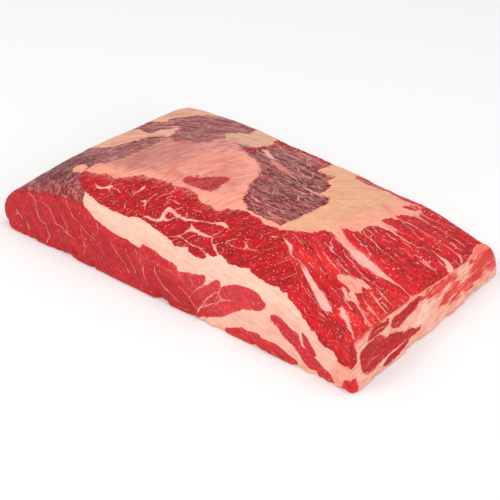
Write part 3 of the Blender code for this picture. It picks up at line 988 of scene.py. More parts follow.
CUT_PATCHES = (
    Patch(Tissue.LEAN_TINT, Hue.FLAT_LOBE, (
        (-34, 24), (-20, 30), (10, 22), (28, 16), (40, 8), (80, 20), (84, 52), (40, 48), (-36, 48),
    ), soft=7.0, marble=0.3),
    Patch(Tissue.LEAN_TINT, Hue.POINT_DARK, (
        (-130, 72), (-96, 64), (-60, 53), (0, 48), (60, 53), (90, 52), (120, 30), (170, 8),
        (170, 230), (-130, 230),
    ), soft=2.0, grain=POINT_GRAIN, marble=0.7),
    Patch(Tissue.LEAN_TINT, Hue.POINT_MID, (
        (-100, 60), (-60, 54), (0, 50), (26, 54), (20, 90), (-20, 92), (-60, 80), (-98, 76),
    ), soft=6.0),
    Patch(Tissue.LEAN_TINT, Hue.STREAK, (
        (86, 50), (100, 44), (120, 24), (170, 8), (170, 230), (84, 230), (78, 150), (68, 128),
        (62, 112), (66, 100), (80, 84), (90, 68),
    ), soft=4.0, grain=STREAK_GRAIN, marble=0.9),
    Patch(Tissue.LEAN_TINT, Hue.BRIGHT, ((74, 88), (92, 86), (106, 92), (104, 104), (82, 106)), soft=4.0),
    Patch(Tissue.LEAN_TINT, Hue.BRIGHT, (
        (118, 92), (126, 60), (140, 36), (156, 24), (158, 90), (140, 100),
    ), soft=7.0, marble=1.1),
    Patch(Tissue.FAT, Hue.CORNER_FAT, (
        (105.5, 95.5), (109, 98.5), (114, 99.5), (119, 99), (124, 97.5), (124.5, 94), (121.5, 90.5),
        (122, 86.5), (124.5, 82), (127, 79), (124, 76.8), (121, 78.6), (117.5, 81.5), (114.5, 85),
        (112.5, 88.5), (110, 91), (106.5, 92.5),
    ), marble=1.2, film=0.5, ragged=4.5),
    # Painted highlight: a brighter red rim along the upper edge of the flat's cut, where light catches the
    # edge
    Patch(Tissue.LEAN_TINT, Hue.FLAT_RIM_HIGHLIGHT, (
        (-150, 36), (-139, 42), (-120, 48.5), (-95, 53), (-86, 50), (-74, 44), (-60, 40), (-40, 38.5),
        (-30, 41), (-12, 38.5), (-4, 37), (-6, 31), (-30, 34), (-60, 34), (-78, 39), (-96, 46),
        (-122, 42), (-140, 36), (-150, 29),
    ), soft=3.0),
    Patch(Tissue.LEAN, Hue.BARE_TOP, (
        FLAT_CUT_EDGE + BARE_EDGE + BAND_EDGE + ((-30, 200), (-30, 230), (-170, 230))
    ), soft=1.2, film=0.6, grain=ROUND_GRAIN),
    Patch(Tissue.LEAN_TINT, Hue.BARE_LOW, (
        (-150, 40), (-128, 47), (-108, 51), (-92, 55), (-93, 62), (-104, 70), (-112, 66), (-126, 56),
    ), soft=7.0),
    Patch(Tissue.LEAN_TINT, Hue.BARE_DARK, (
        (-170, 60), (-140, 56), (-122, 62), (-112, 74), (-110, 92), (-118, 104), (-134, 104), (-170, 96),
    ), soft=8.0, film=0.36),
    Patch(Tissue.FAT, Hue.SKIN, (
        RIDGE_LINE[1:28] + ((14, 112), (22, 118), (22, 160), (-3, 190), (-20, 178), (-40, 140),
        (-80, 112), (-106, 98), (-110, 92))
    ), soft=0.9, film=1.0, grain=BARE_GRAIN),
    Patch(Tissue.FAT, Hue.SKIN, (
        ((-108, 92), (-60, 108), (-10, 116), (0, 160), (-12, 180), (-38, 184))
        + BAND_EDGE[::-1][1:] + ((-108, 101),)
    ), soft=2.0, film=1.0, grain=BARE_GRAIN, ragged=5.0),
    Patch(Tissue.FAT_TINT, Hue.GREY_SKIN, (
        (-97, 108), (-74, 112), (-58, 124), (-56, 142), (-66, 160), (-80, 166), (-98, 158),
    ), soft=9.0),
    Patch(Tissue.FAT_TINT, Hue.PINK_SKIN, (
        (-58, 112), (-30, 112), (-6, 122), (0, 140), (-8, 164), (-36, 172), (-52, 160), (-54, 130),
    ), soft=8.0),
    Patch(Tissue.FAT_TINT, Hue.SALMON, (
        (-112, 84), (-84, 88), (-60, 102), (-30, 106), (10, 100), (24, 118), (12, 136), (0, 158),
        (-20, 174), (-34, 172), (-14, 160), (0, 142), (-2, 122), (-22, 114), (-60, 114),
        (-80, 104), (-106, 100),
    ), soft=5.0, film=0.6),
    Patch(Tissue.LEAN, Hue.ISLET, (
        (-35, 120), (-33, 124), (-29, 127), (-25, 128.5), (-22, 133), (-18, 138), (-14, 140),
        (-10, 139.5), (-8, 136), (-8, 128), (-8.5, 121), (-11, 117), (-18, 116.5), (-26, 115.5),
        (-32, 117),
    ), film=0.1, sunk=0.5, grain=POINT_GRAIN),
    Patch(Tissue.FAT, Hue.SALMON, ((-124, 88), (-119, 93), (-113, 90), (-112, 83), (-118, 80), (-123, 82)),
          film=0.5),
    Patch(Tissue.FAT, Hue.ORANGE_LEFT, (
        (-150, 112), (-137, 113), (-133, 118), (-126, 120), (-119, 130), (-114, 142), (-109, 152),
        (-103, 160), (-98, 162), (-100, 170), (-104, 178), (-110, 168), (-116, 160), (-122, 156),
        (-130, 155), (-136, 150), (-150, 140),
    ), soft=2.5, film=0.7, ragged=4.0),
    Patch(Tissue.FAT, Hue.ORANGE_BACK, (
        (-145, 164), (-133, 165), (-130, 170), (-122, 175), (-117, 184), (-112, 192), (-106, 200),
        (-98, 206), (-90, 216), (-145, 216),
    ), soft=2.5, film=0.7, ragged=4.0),
    Patch(Tissue.FAT, Hue.ORANGE_BACK, (
        (-66, 192), (-62, 199), (-56, 200), (-55, 207), (-54, 216), (-32, 216), (-32, 200),
        (-33, 190), (-36, 186), (-50, 184), (-60, 184),
    ), soft=2.0, film=0.7, ragged=3.0),
    Patch(Tissue.LEAN_TINT, Hue.BARE_RED, ((-92, 160), (-90, 168), (-84, 171), (-81, 168), (-84, 161)),
          soft=2.0),
    Patch(Tissue.FAT, Hue.CAP_MARGIN, (
        RIDGE_LINE[27:] + CAP_EDGE + ((20, 200), (14, 150), (12, 120))
    ), soft=0.9, film=0.45),
    Patch(Tissue.FAT_TINT, Hue.CAP, (
        (56, 116), (66, 121), (72, 131), (78, 140), (79, 165), (82, 186), (80, 196), (58, 204),
        (36, 212), (10, 216), (30, 180), (50, 160),
    ), soft=4.0, film=0.3),
    Patch(Tissue.LEAN, Hue.WINDOW, WINDOW_OUTLINE, film=0.42, sunk=1.2, grain=WINDOW_GRAIN, marble=1.6,
          ragged=1.2),
    Patch(Tissue.LEAN_TINT, Hue.BACK_RED, ((-35, 201), (-10, 202), (15, 200), (14, 216), (-35, 218)),
          soft=3.0, film=0.2),
    Patch(Tissue.LEAN, Hue.STREAK, ((42, 202), (56, 200.5), (70, 202), (86, 201), (99, 200), (96, 216),
          (42, 216)), grain=STREAK_GRAIN),
    Patch(Tissue.LEAN, Hue.STREAK, ((87, 193), (91, 192), (96, 192.5), (97, 197), (92, 198.5), (88, 196))),
    Patch(Tissue.FAT, Hue.RIM_PINK, (
        (146, 104), (148, 112), (149, 127), (150, 140), (150, 160), (148, 172), (145, 184),
        (146, 192), (152, 198), (175, 190), (175, 100),
    ), soft=2.0, marble=0.4),
    Patch(Tissue.FAT, Hue.SEAM, SEAM_OUTLINE, soft=0.9, film=0.1, grain=SEAM_GRAIN),
    Patch(Tissue.FAT_TINT, Hue.LOW_FAT, (
        (24, 0), (44, 10), (60, 25), (76, 32), (84, 44), (110, 34), (150, 14), (150, -12), (24, -12),
    ), soft=5.0),
    Patch(Tissue.FAT_TINT, Hue.CORNER_FAT, ((128, -10), (136, 8), (140, 22), (160, 26), (160, -12)),
          soft=5.0),
    Patch(Tissue.LEAN, Hue.ISLAND, (
        (51, 5), (55, 8.5), (59, 10), (62, 12), (66, 11), (70, 12), (75, 12.5), (78, 11),
        (82, 11.5), (88, 11.5), (94, 10.5), (99, 8.5), (103, 5.5), (107, 2.5), (110, 0),
        (110, -12), (48, -12), (47, 0),
    ), grain=ISLAND_GRAIN, marble=0.35),
    Patch(Tissue.LEAN, Hue.ISLAND, (
        (82, 33), (84, 34.5), (87, 35.5), (91, 34.5), (95, 32.5), (99, 30), (102, 29), (106, 27.5),
        (108, 24), (110, 21), (115, 17), (121, 15), (124, 13.5), (128, 11), (133, 8), (137, 5),
        (139, 2), (137, 0), (130, 0.5), (123, 2), (119, 3.5), (115, 6), (112, 9), (110, 12),
        (106, 14), (104, 16.5), (101, 17), (96, 20), (92, 23), (87, 27), (83, 30),
    ), grain=ISLAND_GRAIN, marble=0.35),
    Patch(Tissue.LEAN, Hue.ISLAND, (
        (108.5, 30), (110, 31), (113, 28.5), (116, 26), (119, 22.5), (122, 19), (122.5, 17.5),
        (120, 15), (115, 15.5), (112, 21), (110, 25),
    ), grain=ISLAND_GRAIN, marble=0.35),
    Patch(Tissue.LEAN, Hue.BRIGHT, ((144, -10), (145, 6), (149, 10), (155, 9), (160, -10)), soft=1.5,
          marble=0.4, grain=ISLAND_GRAIN),
)

CUT_STRANDS = (
    # Veins of the flat's cut, from the left
    ((-141, 40, .6), (-137, 39, .7), (-133, 36, .6), (-132, 31, .5), (-131, 27, .6), (-129, 23, .5),
     (-126, 20.5, .8), (-122, 19, .5), (-119, 14, .7), (-117, 8, .9), (-119, 3, .6)),
    ((-125, 37, .4), (-120, 36, .6), (-118, 33, .6), (-115, 29, .4), (-112, 25, .6), (-108, 24, .4),
     (-103, 22, .4), (-100, 20, .5)),
    ((-105, 50, .4), (-103, 46, .5), (-100, 41, .4), (-97, 38, .7), (-93, 36, .4)),
    ((-107, 35, .3), (-103, 28, .3)),
    ((-101, 27, .4), (-100, 22, .6), (-98, 20, .5), (-93, 19, .4)),
    ((-88, 30, .4), (-86, 25, .4), (-84, 20, .5), (-83, 18, .8), (-82, 13, .6), (-83, 7, .4)),
    ((-75, 42, .4), (-74, 40, .6), (-72, 37, .4)),
    ((-88, 33, .3), (-80, 29, .3), (-74, 26, .3), (-66, 19, .3)),
    ((-151, 21, .4), (-149, 18.5, .8), (-147, 17.5, .9), (-145, 14, .4)),
    ((-149, 18, .6), (-152, 15, .4)),
    ((-141, 14, .3), (-138, 9, .6), (-136, 8, .4)),
    ((-59, 30, .4), (-56, 27, .5), (-52, 24, .4), (-48, 20, .4), (-44, 16, .4), (-41, 13, .9), (-40, 11, .5)),
    ((-46, 31, .3), (-44, 27, .4), (-40, 23, .3), (-36, 18, .4), (-33, 14, .5)),
    ((-38, 35, .4), (-35, 30, .4), (-32, 27, .4)),
    ((-29, 23, .7), (-28, 21, 1.0), (-27, 17, .5), (-24, 12, .4), (-20, 9, .4)),
    ((-19, 28, .4), (-18, 25, .7), (-15, 21, .4), (-10, 17, .5), (-5, 13, .9), (0, 11, .5), (8, 6, .3)),
    ((5, 20, .4), (9, 19, .4), (14, 16, .5), (18, 12, .5), (21, 9.5, .5)),
    ((25.5, 38, .8), (25, 33, .9), (23.5, 29, .8), (22, 27.5, 1.2), (20, 25, .8), (18, 21, .4)),
    ((36, 31, .6), (34, 29, .6), (32, 25, 1), (29, 20, 1), (27, 15, 1), (25.5, 11, 1), (24, 8, 1.3),
     (23, 5, .5)),
    ((50, 29, .5), (46, 28, .8), (42, 26.5, 1), (39, 25, .8), (38, 22, .7), (34, 18, .6), (30, 14, .7),
     (27, 11, .6)),
    ((39, 39, .5), (38, 33, .5), (39, 29, .6), (41, 26, .6)),
    # Branches of fat in the left half of the point
    ((-41, 68.5, .5), (-38, 68.6, 1.5), (-32, 69, 1.7), (-28, 70.3, 1.9), (-26.5, 73.5, 2.2), (-27, 78, 2),
     (-26.8, 82, 2), (-25.5, 85, 2.2)),
    ((-27, 86, 1), (-24, 84.8, 2), (-20, 83.6, 1.5), (-16, 82.2, 1.6), (-10, 82.1, 1.7), (-5, 83.6, 1.6),
     (0, 85.6, 1.3), (5, 88, 1.1), (10, 89.8, 1.1), (15, 92, 1.5), (19, 92.4, 2), (22, 91.4, 1.2),
     (24.5, 90.6, .5)),
    ((-26, 73.5, 2), (-22.5, 73.8, 1.7), (-20.5, 75.5, .9), (-20, 78, .8), (-18, 80.4, 1), (-14, 81.5, 1)),
    ((-3, 79.5, .8), (-1, 77, 1.8), (1, 75.6, 2.2), (5, 75.5, 1.9), (10, 75.6, 1.8), (15, 76.5, 1.4),
     (18, 77.8, .7)),
    ((0, 75, 2), (-3, 71.5, 1.6), (-5, 67.5, .8), (-7, 64.8, 1.3), (-4, 63.8, 1), (0, 62.6, .8),
     (5, 61.4, .8), (10, 61.8, 1.1), (15, 61.6, 1.2), (19, 60.2, 1.1), (23, 57, 1.4)),
    ((-7, 64.8, 1.1), (-10, 61.8, .8), (-14, 60, .7)),
    ((17, 75.5, .8), (18.5, 72, .9), (20.3, 70, 1.1), (22.3, 68.8, 1.7), (24.5, 66.5, 1.5), (27.5, 64.4, 1.2),
     (31, 61.5, 1.6)),
    ((22.5, 69, 1.3), (23.4, 72.5, .7)),
    ((-92, 78, .5), (-90, 76.5, 1.2), (-86, 75.8, 1.7), (-83, 78.3, 1.4), (-80.5, 80.5, 1.9), (-77, 82, .9),
     (-73, 81.7, .9), (-70, 80.2, 1.2)),
    ((-81.5, 84.8, .7), (-80.5, 81.5, 1.1), (-78.5, 79, .7), (-77, 77, .5)),
    ((-55.3, 97, .5), (-55, 93, 1.6), (-55.2, 91, 1.2), (-57, 87, .7), (-58, 83.5, .6), (-58.5, 81, .5)),
    ((-49.5, 80.5, .8), (-47, 81.5, 1.6), (-45.5, 80, 1.2), (-44.5, 77, .8), (-43.6, 75.2, .5)),
    ((-60, 72, .5), (-59, 68.5, 1.2), (-58.5, 66.5, .8)),
    ((-58, 103, .6), (-57, 104.6, .8)),
    ((-46, 100.5, .5), (-49, 97, .7)),
    ((-33.5, 108, .5), (-33, 103, .7), (-34.5, 98, .6), (-38, 93, .6), (-39.5, 88, .4)),
    ((-41, 95, .5), (-42.5, 91, .5), (-43.5, 86.5, .6), (-44.5, 82.5, .5)),
    ((-30, 99, .4), (-32, 95.5, .5), (-32.8, 93.8, .9)),
    ((-30.5, 91, .5), (-32, 87, .4)),
    ((-30, 93.8, .6), (-25, 94.1, .9), (-21, 93.8, .7)),
    ((-9, 93.8, .5), (-6, 94.2, .8), (-4, 95.4, 1.1), (-1, 94.8, .5)),
    ((-12, 88.5, .7), (-11, 86, .9)),
    ((28.5, 76, .6), (28.6, 79, .8), (31, 83, .6), (34, 85, .7)),
    ((30, 78.8, .5), (36, 77.6, .6), (42, 78.6, .5)),
    ((54, 100, .8), (56, 102, 1.2), (58, 103, .5)),
    ((41, 85, .8), (44, 82.5, 1.3), (43, 78.5, 1)),
    ((44, 83, 1), (48, 81.5, .9), (53, 82.5, .4)),
    # Branches of fat in the right half of the point
    ((61, 105.5, .5), (64, 103, 1.3), (68, 100.5, 1.7), (71, 97, 1.5), (74, 93, 1.1), (78, 91, .8)),
    ((80, 92, .8), (84, 88.5, 1.2), (87, 86, 1.4), (91, 82, 1.9), (96, 77.5, 2.2), (101, 73, 2.2),
     (106, 69.5, 2.9), (110, 65.5, 3.6), (114, 62.5, 3.4), (118, 60.5, 2), (121, 60, 1)),
    ((122, 69, .8), (124, 66, 1.9), (128, 62, 2.3), (132, 58.5, 1.9), (135, 55, 1.7), (138, 51.5, 1.2),
     (144, 46, .9), (149, 40, .7)),
    ((84, 132, 3), (90, 127.3, 3), (95, 124.8, 3.4), (100, 122.3, 3.9), (105, 120.2, 4.2), (110, 117.4, 4.1),
     (115, 115.4, 3.6), (120, 113.5, 3.1), (125, 112.8, 2.4), (130, 112.2, 1.5), (134, 111.4, 1.1),
     (140, 109.5, .9), (146, 107, 1)),
    ((82, 127, .4), (84, 122, .9), (87, 118, 1.3), (89, 114.5, 1.2), (93, 112.5, .6), (98, 111, .4)),
    ((107, 31, .9), (108, 27, .9), (110, 23, .9), (114, 19, .6)),
    ((104, 112, .4), (112, 106, .6), (118, 103, .9), (124, 102, .7), (130, 100, .5)),
    ((96, 108, .4), (103, 103, .8), (110, 100, .8), (116, 98.5, .8)),
    ((86, 110, .4), (92, 105, .8), (98, 101, .9), (104, 98, .7)),
    ((126, 100, .5), (132, 96, .9), (138, 93, .8), (144, 90, .5)),
    ((128, 92, .5), (134, 88, .8), (140, 84, .9), (145, 80, .6)),
    ((126, 86, .5), (132, 81, .8), (138, 77, .9), (144, 72, .7)),
    ((126, 79, .5), (131, 74, .9), (137, 69, .9), (142, 63, .8)),
    ((112, 96, .5), (117, 91, .9), (121, 88, .8)),
    ((150.5, 112, .5), (150, 98, .6), (150, 84, .6), (151, 70, .6), (152.5, 60, .6)),
    # Fat between the bundles of the streaked end, from the back
    ((100, 192.5, .6), (108, 192, .7), (116, 191.5, .5), (124, 190, .4)),
    ((103, 187.5, .8), (109, 186.5, .7), (118, 185, .7), (126, 184, .6), (133, 182, .5), (140, 180, .4)),
    ((104, 183, .3), (110, 182, .3)),
    ((96, 176.5, 1), (103, 176.5, .9), (112, 175, .6), (122, 173, .5), (132, 171, .5), (140, 169.5, 1),
     (144, 167, 1.2), (148, 162, 1)),
    ((101, 173.5, .6), (107, 171, .5), (113, 168.5, .5), (120, 165.5, .4)),
    ((92, 164, 1.5), (98, 162.5, 1.8), (104, 159.5, 1.2), (110, 158, .8), (120, 157, .6), (128, 157.5, .4)),
    ((103, 164, .5), (108, 163, .5)),
    ((128, 160, .4), (134, 157.5, 1), (140, 155, 1.6), (144, 153, 2), (148, 148, 2)),
    ((91, 155, .4), (97, 152, .4)),
    ((103, 148.5, .5), (108, 147.5, .4)),
    ((116, 148, .4), (124, 145, .4)),
    ((125, 147.5, .4), (133, 144.5, .5), (140, 142.5, .5), (144, 139, .3)),
    ((86, 145, 1.5), (92, 143.5, .9), (98, 142.5, .8), (104, 139, .7), (112, 136, .5), (120, 133.5, .4),
     (128, 130.5, .3)),
    ((88, 139, .4), (93, 136, .7), (98, 133, .6), (103, 130.5, .6), (108, 126.5, .5)),
    # Veins of the bare window
    ((-28, 192, 1.6), (-20, 187.5, 1.5), (-12, 183, 1.9), (-5, 180, 2.4), (3, 177, 2), (10, 174.5, 1.4),
     (18, 171.5, 1), (26, 168.5, 1), (32, 166.5, 1.1), (38, 165.5, 1.3), (45, 165, 1.5)),
    ((-2, 160, .9), (8, 160, 1), (18, 159.8, 1), (28, 159.5, 1), (36, 160.5, 1), (40, 162.5, .8)),
    ((36, 160, .9), (37, 156, 1), (39, 152, 1.2), (40, 151, .7)),
    ((11, 148.5, .5), (14, 147, .9), (16, 146.5, .5)),
    ((21, 148, .5), (23, 145, .9), (23.5, 142, .5)),
    ((16, 132.5, .9), (21, 131, 1.4), (28, 130.5, 1), (36, 131, .9), (44, 130.5, .8)),
    ((-28, 203, .7), (-10, 198, .9), (0, 197, 1), (10, 195, .8)),
    ((2, 189, .7), (10, 184, .8), (16, 181, .9), (22, 178, .7)),
    ((-30, 186, .8), (-20, 186.5, 1), (-10, 186, .7)),
    ((20, 186, 1), (24, 182, .9), (20, 178, .7)),
    ((28, 168, .9), (33, 172, .8), (40, 173, .7)),
    ((35, 125, .7), (44, 121, .8), (48, 124, .6)),
)

END_PATCHES = (
    Patch(Tissue.FAT_TINT, Hue.END_FAT, ((-120, -20), (120, -20), (120, 60), (-120, 60)), film=1.0),
    Patch(Tissue.LEAN, Hue.STREAK, (
        (-110, 39), (-80, 40), (-60, 39), (-30, 40), (-17, 39), (-8, 38), (10, 37), (36, 36), (40, 46),
        (44, 34), (52, 34), (55, 42), (58, 34), (66, 34), (68, 60), (71, 38), (85, 38), (110, 38),
        (110, 130), (-110, 130),
    ), soft=1.5, marble=0.3, grain=StraightGrain(80.0)),
    Patch(Tissue.FAT_TINT, Hue.SEAM, (
        (-60, 10), (-40, 9), (-10, 20), (0, 28), (10, 20), (-10, 8), (-50, -4),
    )),
    Patch(Tissue.FAT_TINT, Hue.BLUSH, ((-6, 28), (20, 22), (38, 26), (34, 33), (4, 34)), soft=2.0,
          ragged=7.0),
    Patch(Tissue.FAT_TINT, Hue.BLUSH, ((12, 12), (40, 8), (64, 10), (66, 20), (44, 19), (20, 21)), soft=2.0,
          ragged=7.0),
    Patch(Tissue.FAT_TINT, Hue.BLUSH, ((52, 20), (62, 10), (92, 8), (92, 32), (66, 30)), soft=2.0,
          ragged=7.0),
    Patch(Tissue.FAT_TINT, Hue.BLUSH, ((-80, 36), (-50, 38), (-20, 37), (20, 34), (60, 31), (90, 34),
          (90, 42), (-80, 42)), soft=3.0),
    Patch(Tissue.LEAN, Hue.END_LEAN, (
        (-76, 24), (-72, 28), (-64, 29.5), (-56, 29), (-50, 25.5), (-49, 22), (-45, 22.5),
        (-40, 21.5), (-34, 18.5), (-29, 15), (-23, 14.5), (-17, 11), (-18, 8.5), (-28, 8),
        (-40, 7), (-52, 6.5), (-62, 5), (-70, 5.5), (-75, 8), (-77, 14),
    ), marble=0.5, film=0.06),
    Patch(Tissue.LEAN, Hue.END_LEAN, (
        (-40, 30), (-36, 33), (-26, 33.5), (-15, 34), (-6, 34), (-2, 32.5), (-3, 30), (-10, 28),
        (-18, 25.5), (-26, 23.5), (-33, 22.5), (-38, 24), (-41, 27),
    ), marble=0.5, film=0.06),
    Patch(Tissue.LEAN, Hue.END_LEAN, (
        (-67, 31), (-60, 36), (-50, 37), (-41, 34), (-44, 31), (-54, 29.5), (-62, 30.5),
    ), marble=0.4, film=0.06),
    Patch(Tissue.LEAN, Hue.END_LEAN, (
        (-56, 0), (-54, 3), (-46, 5), (-34, 6.5), (-22, 9), (-12, 10), (-12, 6), (-20, 4),
        (-32, 1.5), (-44, -1),
    ), marble=0.4, film=0.06),
    Patch(Tissue.LEAN, Hue.END_LEAN, ((-110, 19), (-84, 19), (-79, 24), (-78, 34), (-80, 48), (-110, 48)),
          soft=2.0, film=0.0),
    Patch(Tissue.LEAN, Hue.BRIGHT, ((-110, -6), (-84, -4), (-83, 6), (-87, 11), (-110, 10)), soft=1.5,
          film=0.0),
)

END_STRANDS = (
    ((-70, 14, .5), (-64, 13.5, .8), (-58, 13, .5)),
    ((-58, 34, .4), (-50, 33, .5), (-44, 32.5, .4)),
    ((-17, 38, 1.0), (-14, 42, 1.2), (-11, 47, .7)),
    ((-74, 31, .6), (-60, 40, .7), (-44, 37, .8), (-30, 37, .6)),
    ((8, 38, .6), (8, 50, .5)),
    ((25, 37, .7), (26, 50, .5)),
    ((77, 37, .8), (78, 52, .6)),
)

CUT_DRAWING = Drawing(Tissue.LEAN, Hue.FLAT_CUT, Hue.BRANCH, FLAT_GRAIN, CUT_PATCHES, CUT_STRANDS)
END_DRAWING = Drawing(Tissue.FAT, Hue.STREAK, Hue.END_FAT, END_GRAIN, END_PATCHES, END_STRANDS)


@dataclass(frozen=True)
class HiddenSides:
    """Tissues of the left end, the back and the underside, read off the layers inside."""

    form: SlabForm
    cap_back: tuple = (40.0, 96.0)
    sheet_depth: float = 4.0
    flat_margin: float = 1.0
    soft: float = 1.0
    marble: float = 0.2
    vein_seeds: tuple = (21, 22)
    vein_stretch: tuple = (0.3, 0.3, 1.0)
    vein_wave: float = 11.0
    vein_slope: float = 16.0
    vein_start: float = 0.16
    vein_rate: float = 16.0
    fibre_rise: float = 2.0
    fibre_climb: float = 1.2
    fibre_drift: float = 0.4

    def fields(self, places: Array) -> Fields:
        """Fields at places on the slab, with veins of their own."""
        x, height = places[:, 0], places[:, 2]
        setback = np.clip(places[:, 1] + self.form.back_setback / 2.0, 0.0, self.form.back_setback)
        share = setback / self.form.back_setback
        flat_top = self.form.flat_top(x, setback)
        point_base = self.form.point_base(x, setback)
        end = between(self.form.flat_end, share)
        lift = between(self.form.flat_lift, share)
        under = np.maximum(x - lift, 0.0) * flat_top / (end - lift)
        in_flat = np.minimum(np.minimum(flat_top - height, end - x), height - under + self.flat_margin)
        in_fat = np.minimum(-in_flat, point_base - height)
        top = self.form.top_height(x, setback)
        in_cap = np.minimum(x - self.cap_back[0], self.cap_back[1] - x)
        in_cap = np.minimum(in_cap, height - top + self.sheet_depth)
        in_fat = np.maximum(in_fat, in_cap)

        result = Fields.plain(len(places), 0.0, Hue.FLAT_CUT, Hue.SEAM)
        result.share = in_fat
        above = smooth_step(height - (flat_top + point_base) / 2.0, -self.soft, self.soft)
        result.lean = blend(result.lean, Hue.POINT_MID.linear()[None, :], above)
        cap = smooth_step(in_cap, -self.soft, self.soft)
        result.fat = blend(result.fat, Hue.CAP.linear()[None, :], cap)
        result.marble += self.marble
        drawn = places * self.vein_stretch
        across, along = (Noise(seed).waves(drawn, self.vein_wave) for seed in self.vein_seeds)
        result.side = across * self.vein_slope
        result.far = (self.vein_start - along) * self.vein_rate
        run = x + places[:, 1] + height * self.fibre_rise
        climb = height * self.fibre_climb - x * self.fibre_drift
        result.fibre = np.stack([run, climb, above], axis=1)
        return result


@dataclass(frozen=True)
class MeatMap:
    """Where lean and fat lie all over the slab."""

    form: SlabForm
    shift: float = 2.0
    right_edge: float = 152.0
    right_lean: float = 0.046
    chart_gap: float = 100.0
    wander: tuple = ((0.75, 9.0), (0.45, 3.6))
    wander_seed: int = 31
    end_facing: tuple = (0.42, 0.62)
    cut_facing: tuple = (0.04, 0.26)

    def fields(self, places: Array, normals: Array) -> Fields:
        """Fields at places on the slab.

        Args:
            places: Places on the smooth slab.
            normals: Outward normal at each place.

        Returns:
            The fields, with the course of the fibres on the chart of the cut or the end.
        """
        moved = places.copy()
        for number, (size, length) in enumerate(self.wander):
            for axis in range(3):
                noise = Noise(self.wander_seed + 3 * number + axis)
                moved[:, axis] += size * noise.waves(places, length)
        x, y, z = moved.T
        setback = y + self.form.back_setback / 2.0
        faces_cut = (normals[:, 2] - normals[:, 1]) / math.sqrt(2.0)
        on_end = smooth_step(normals[:, 0], *self.end_facing)
        on_cut = smooth_step(faces_cut, *self.cut_facing)
        hidden = HiddenSides(self.form).fields(moved)
        cut = CUT_DRAWING.fields(np.stack([x - self.shift, z + setback], axis=1))
        edge = self.right_edge + self.right_lean * setback
        end = END_DRAWING.fields(np.stack([y, z + edge - x], axis=1))
        along, back, up = np.eye(3)
        for number, chart in enumerate((cut, end, hidden)):
            chart.fibre[:, 2] += number * self.chart_gap
        hidden.turned(normals, along, up)
        cut.turned(normals, along, back + up)
        end.turned(normals, back, up - along)
        return hidden.mixed(cut, on_cut).mixed(end, on_end)


@dataclass(frozen=True)
class Relief:
    """Unevenness of the cut meat, as a height over the smooth slab."""

    fat_rise: float = 0.35
    fat_range: tuple = (-0.8, 0.8)
    waves: tuple = ((0.55, 24.0), (0.32, 10.0), (0.16, 4.5), (0.09, 2.4))
    wave_seed: int = 51
    film_calm: float = 0.45
    fibre_height: float = 0.24
    fibre_width: float = 1.9
    fibre_length: float = 16.0
    fibre_seed: int = 61
    lean_range: tuple = (-0.5, 0.5)
    vein_height: float = 0.14
    vein_range: tuple = (0.4, 1.6)
    floor_fade: tuple = (0.0, 2.5)
    notch: float = 3.0
    notch_wave: float = 17.0
    notch_seed: int = 71
    notch_gain: float = 1.5
    notch_most: float = 1.2
    small_notch: float = 0.5
    small_wave: float = 3.6
    small_seed: int = 73
    notch_top: float = 14.0
    notch_reach: float = 18.0

    def heights(self, places: Array, fields: Fields) -> Array:
        """Height of the relief at each place.

        Args:
            places: Places on the smooth slab.
            fields: Fields there.

        Returns:
            The heights, which may be below nought.
        """
        height = self.fat_rise * smooth_step(fields.share, *self.fat_range) - fields.sunk
        calm = 1.0 - self.film_calm * fields.film
        for number, (size, length) in enumerate(self.waves):
            height = height + size * calm * Noise(self.wave_seed + number).waves(places, length)
        lean = 1.0 - smooth_step(fields.share, *self.lean_range)
        stretch = np.array([self.fibre_length, self.fibre_width, 1.0])
        fibres = Noise(self.fibre_seed).at(fields.fibre / stretch)
        height = height + self.fibre_height * lean * calm * fibres
        strand = np.maximum(np.abs(fields.side), fields.far)
        height = height + self.vein_height * (1.0 - smooth_step(strand, *self.vein_range)) * lean
        return height * smooth_step(places[:, 2], *self.floor_fade)

    def notched(self, places: Array, low: Array, high: Array) -> Array:
        """The places with the lower rim drawn in here and there.

        Args:
            places: Places on the raised surface.
            low: Lowest corner of the slab's box.
            high: Highest corner.

        Returns:
            The changed places.
        """
        result = places.copy()
        rim = 1.0 - smooth_step(places[:, 2], 0.0, self.notch_top)
        for axis in (0, 1):
            dents = Noise(self.notch_seed + axis).waves(places, self.notch_wave)
            small = Noise(self.small_seed + axis).waves(places, self.notch_wave / self.small_wave)
            dents = dents + self.small_notch * small
            pull = self.notch * rim * np.clip(dents * self.notch_gain, 0.0, self.notch_most)
            for side, limit in ((1.0, low[axis]), (-1.0, high[axis])):
                near = np.clip(1.0 - side * (places[:, axis] - limit) / self.notch_reach, 0.0, 1.0)
                result[:, axis] += side * pull * near
        return result


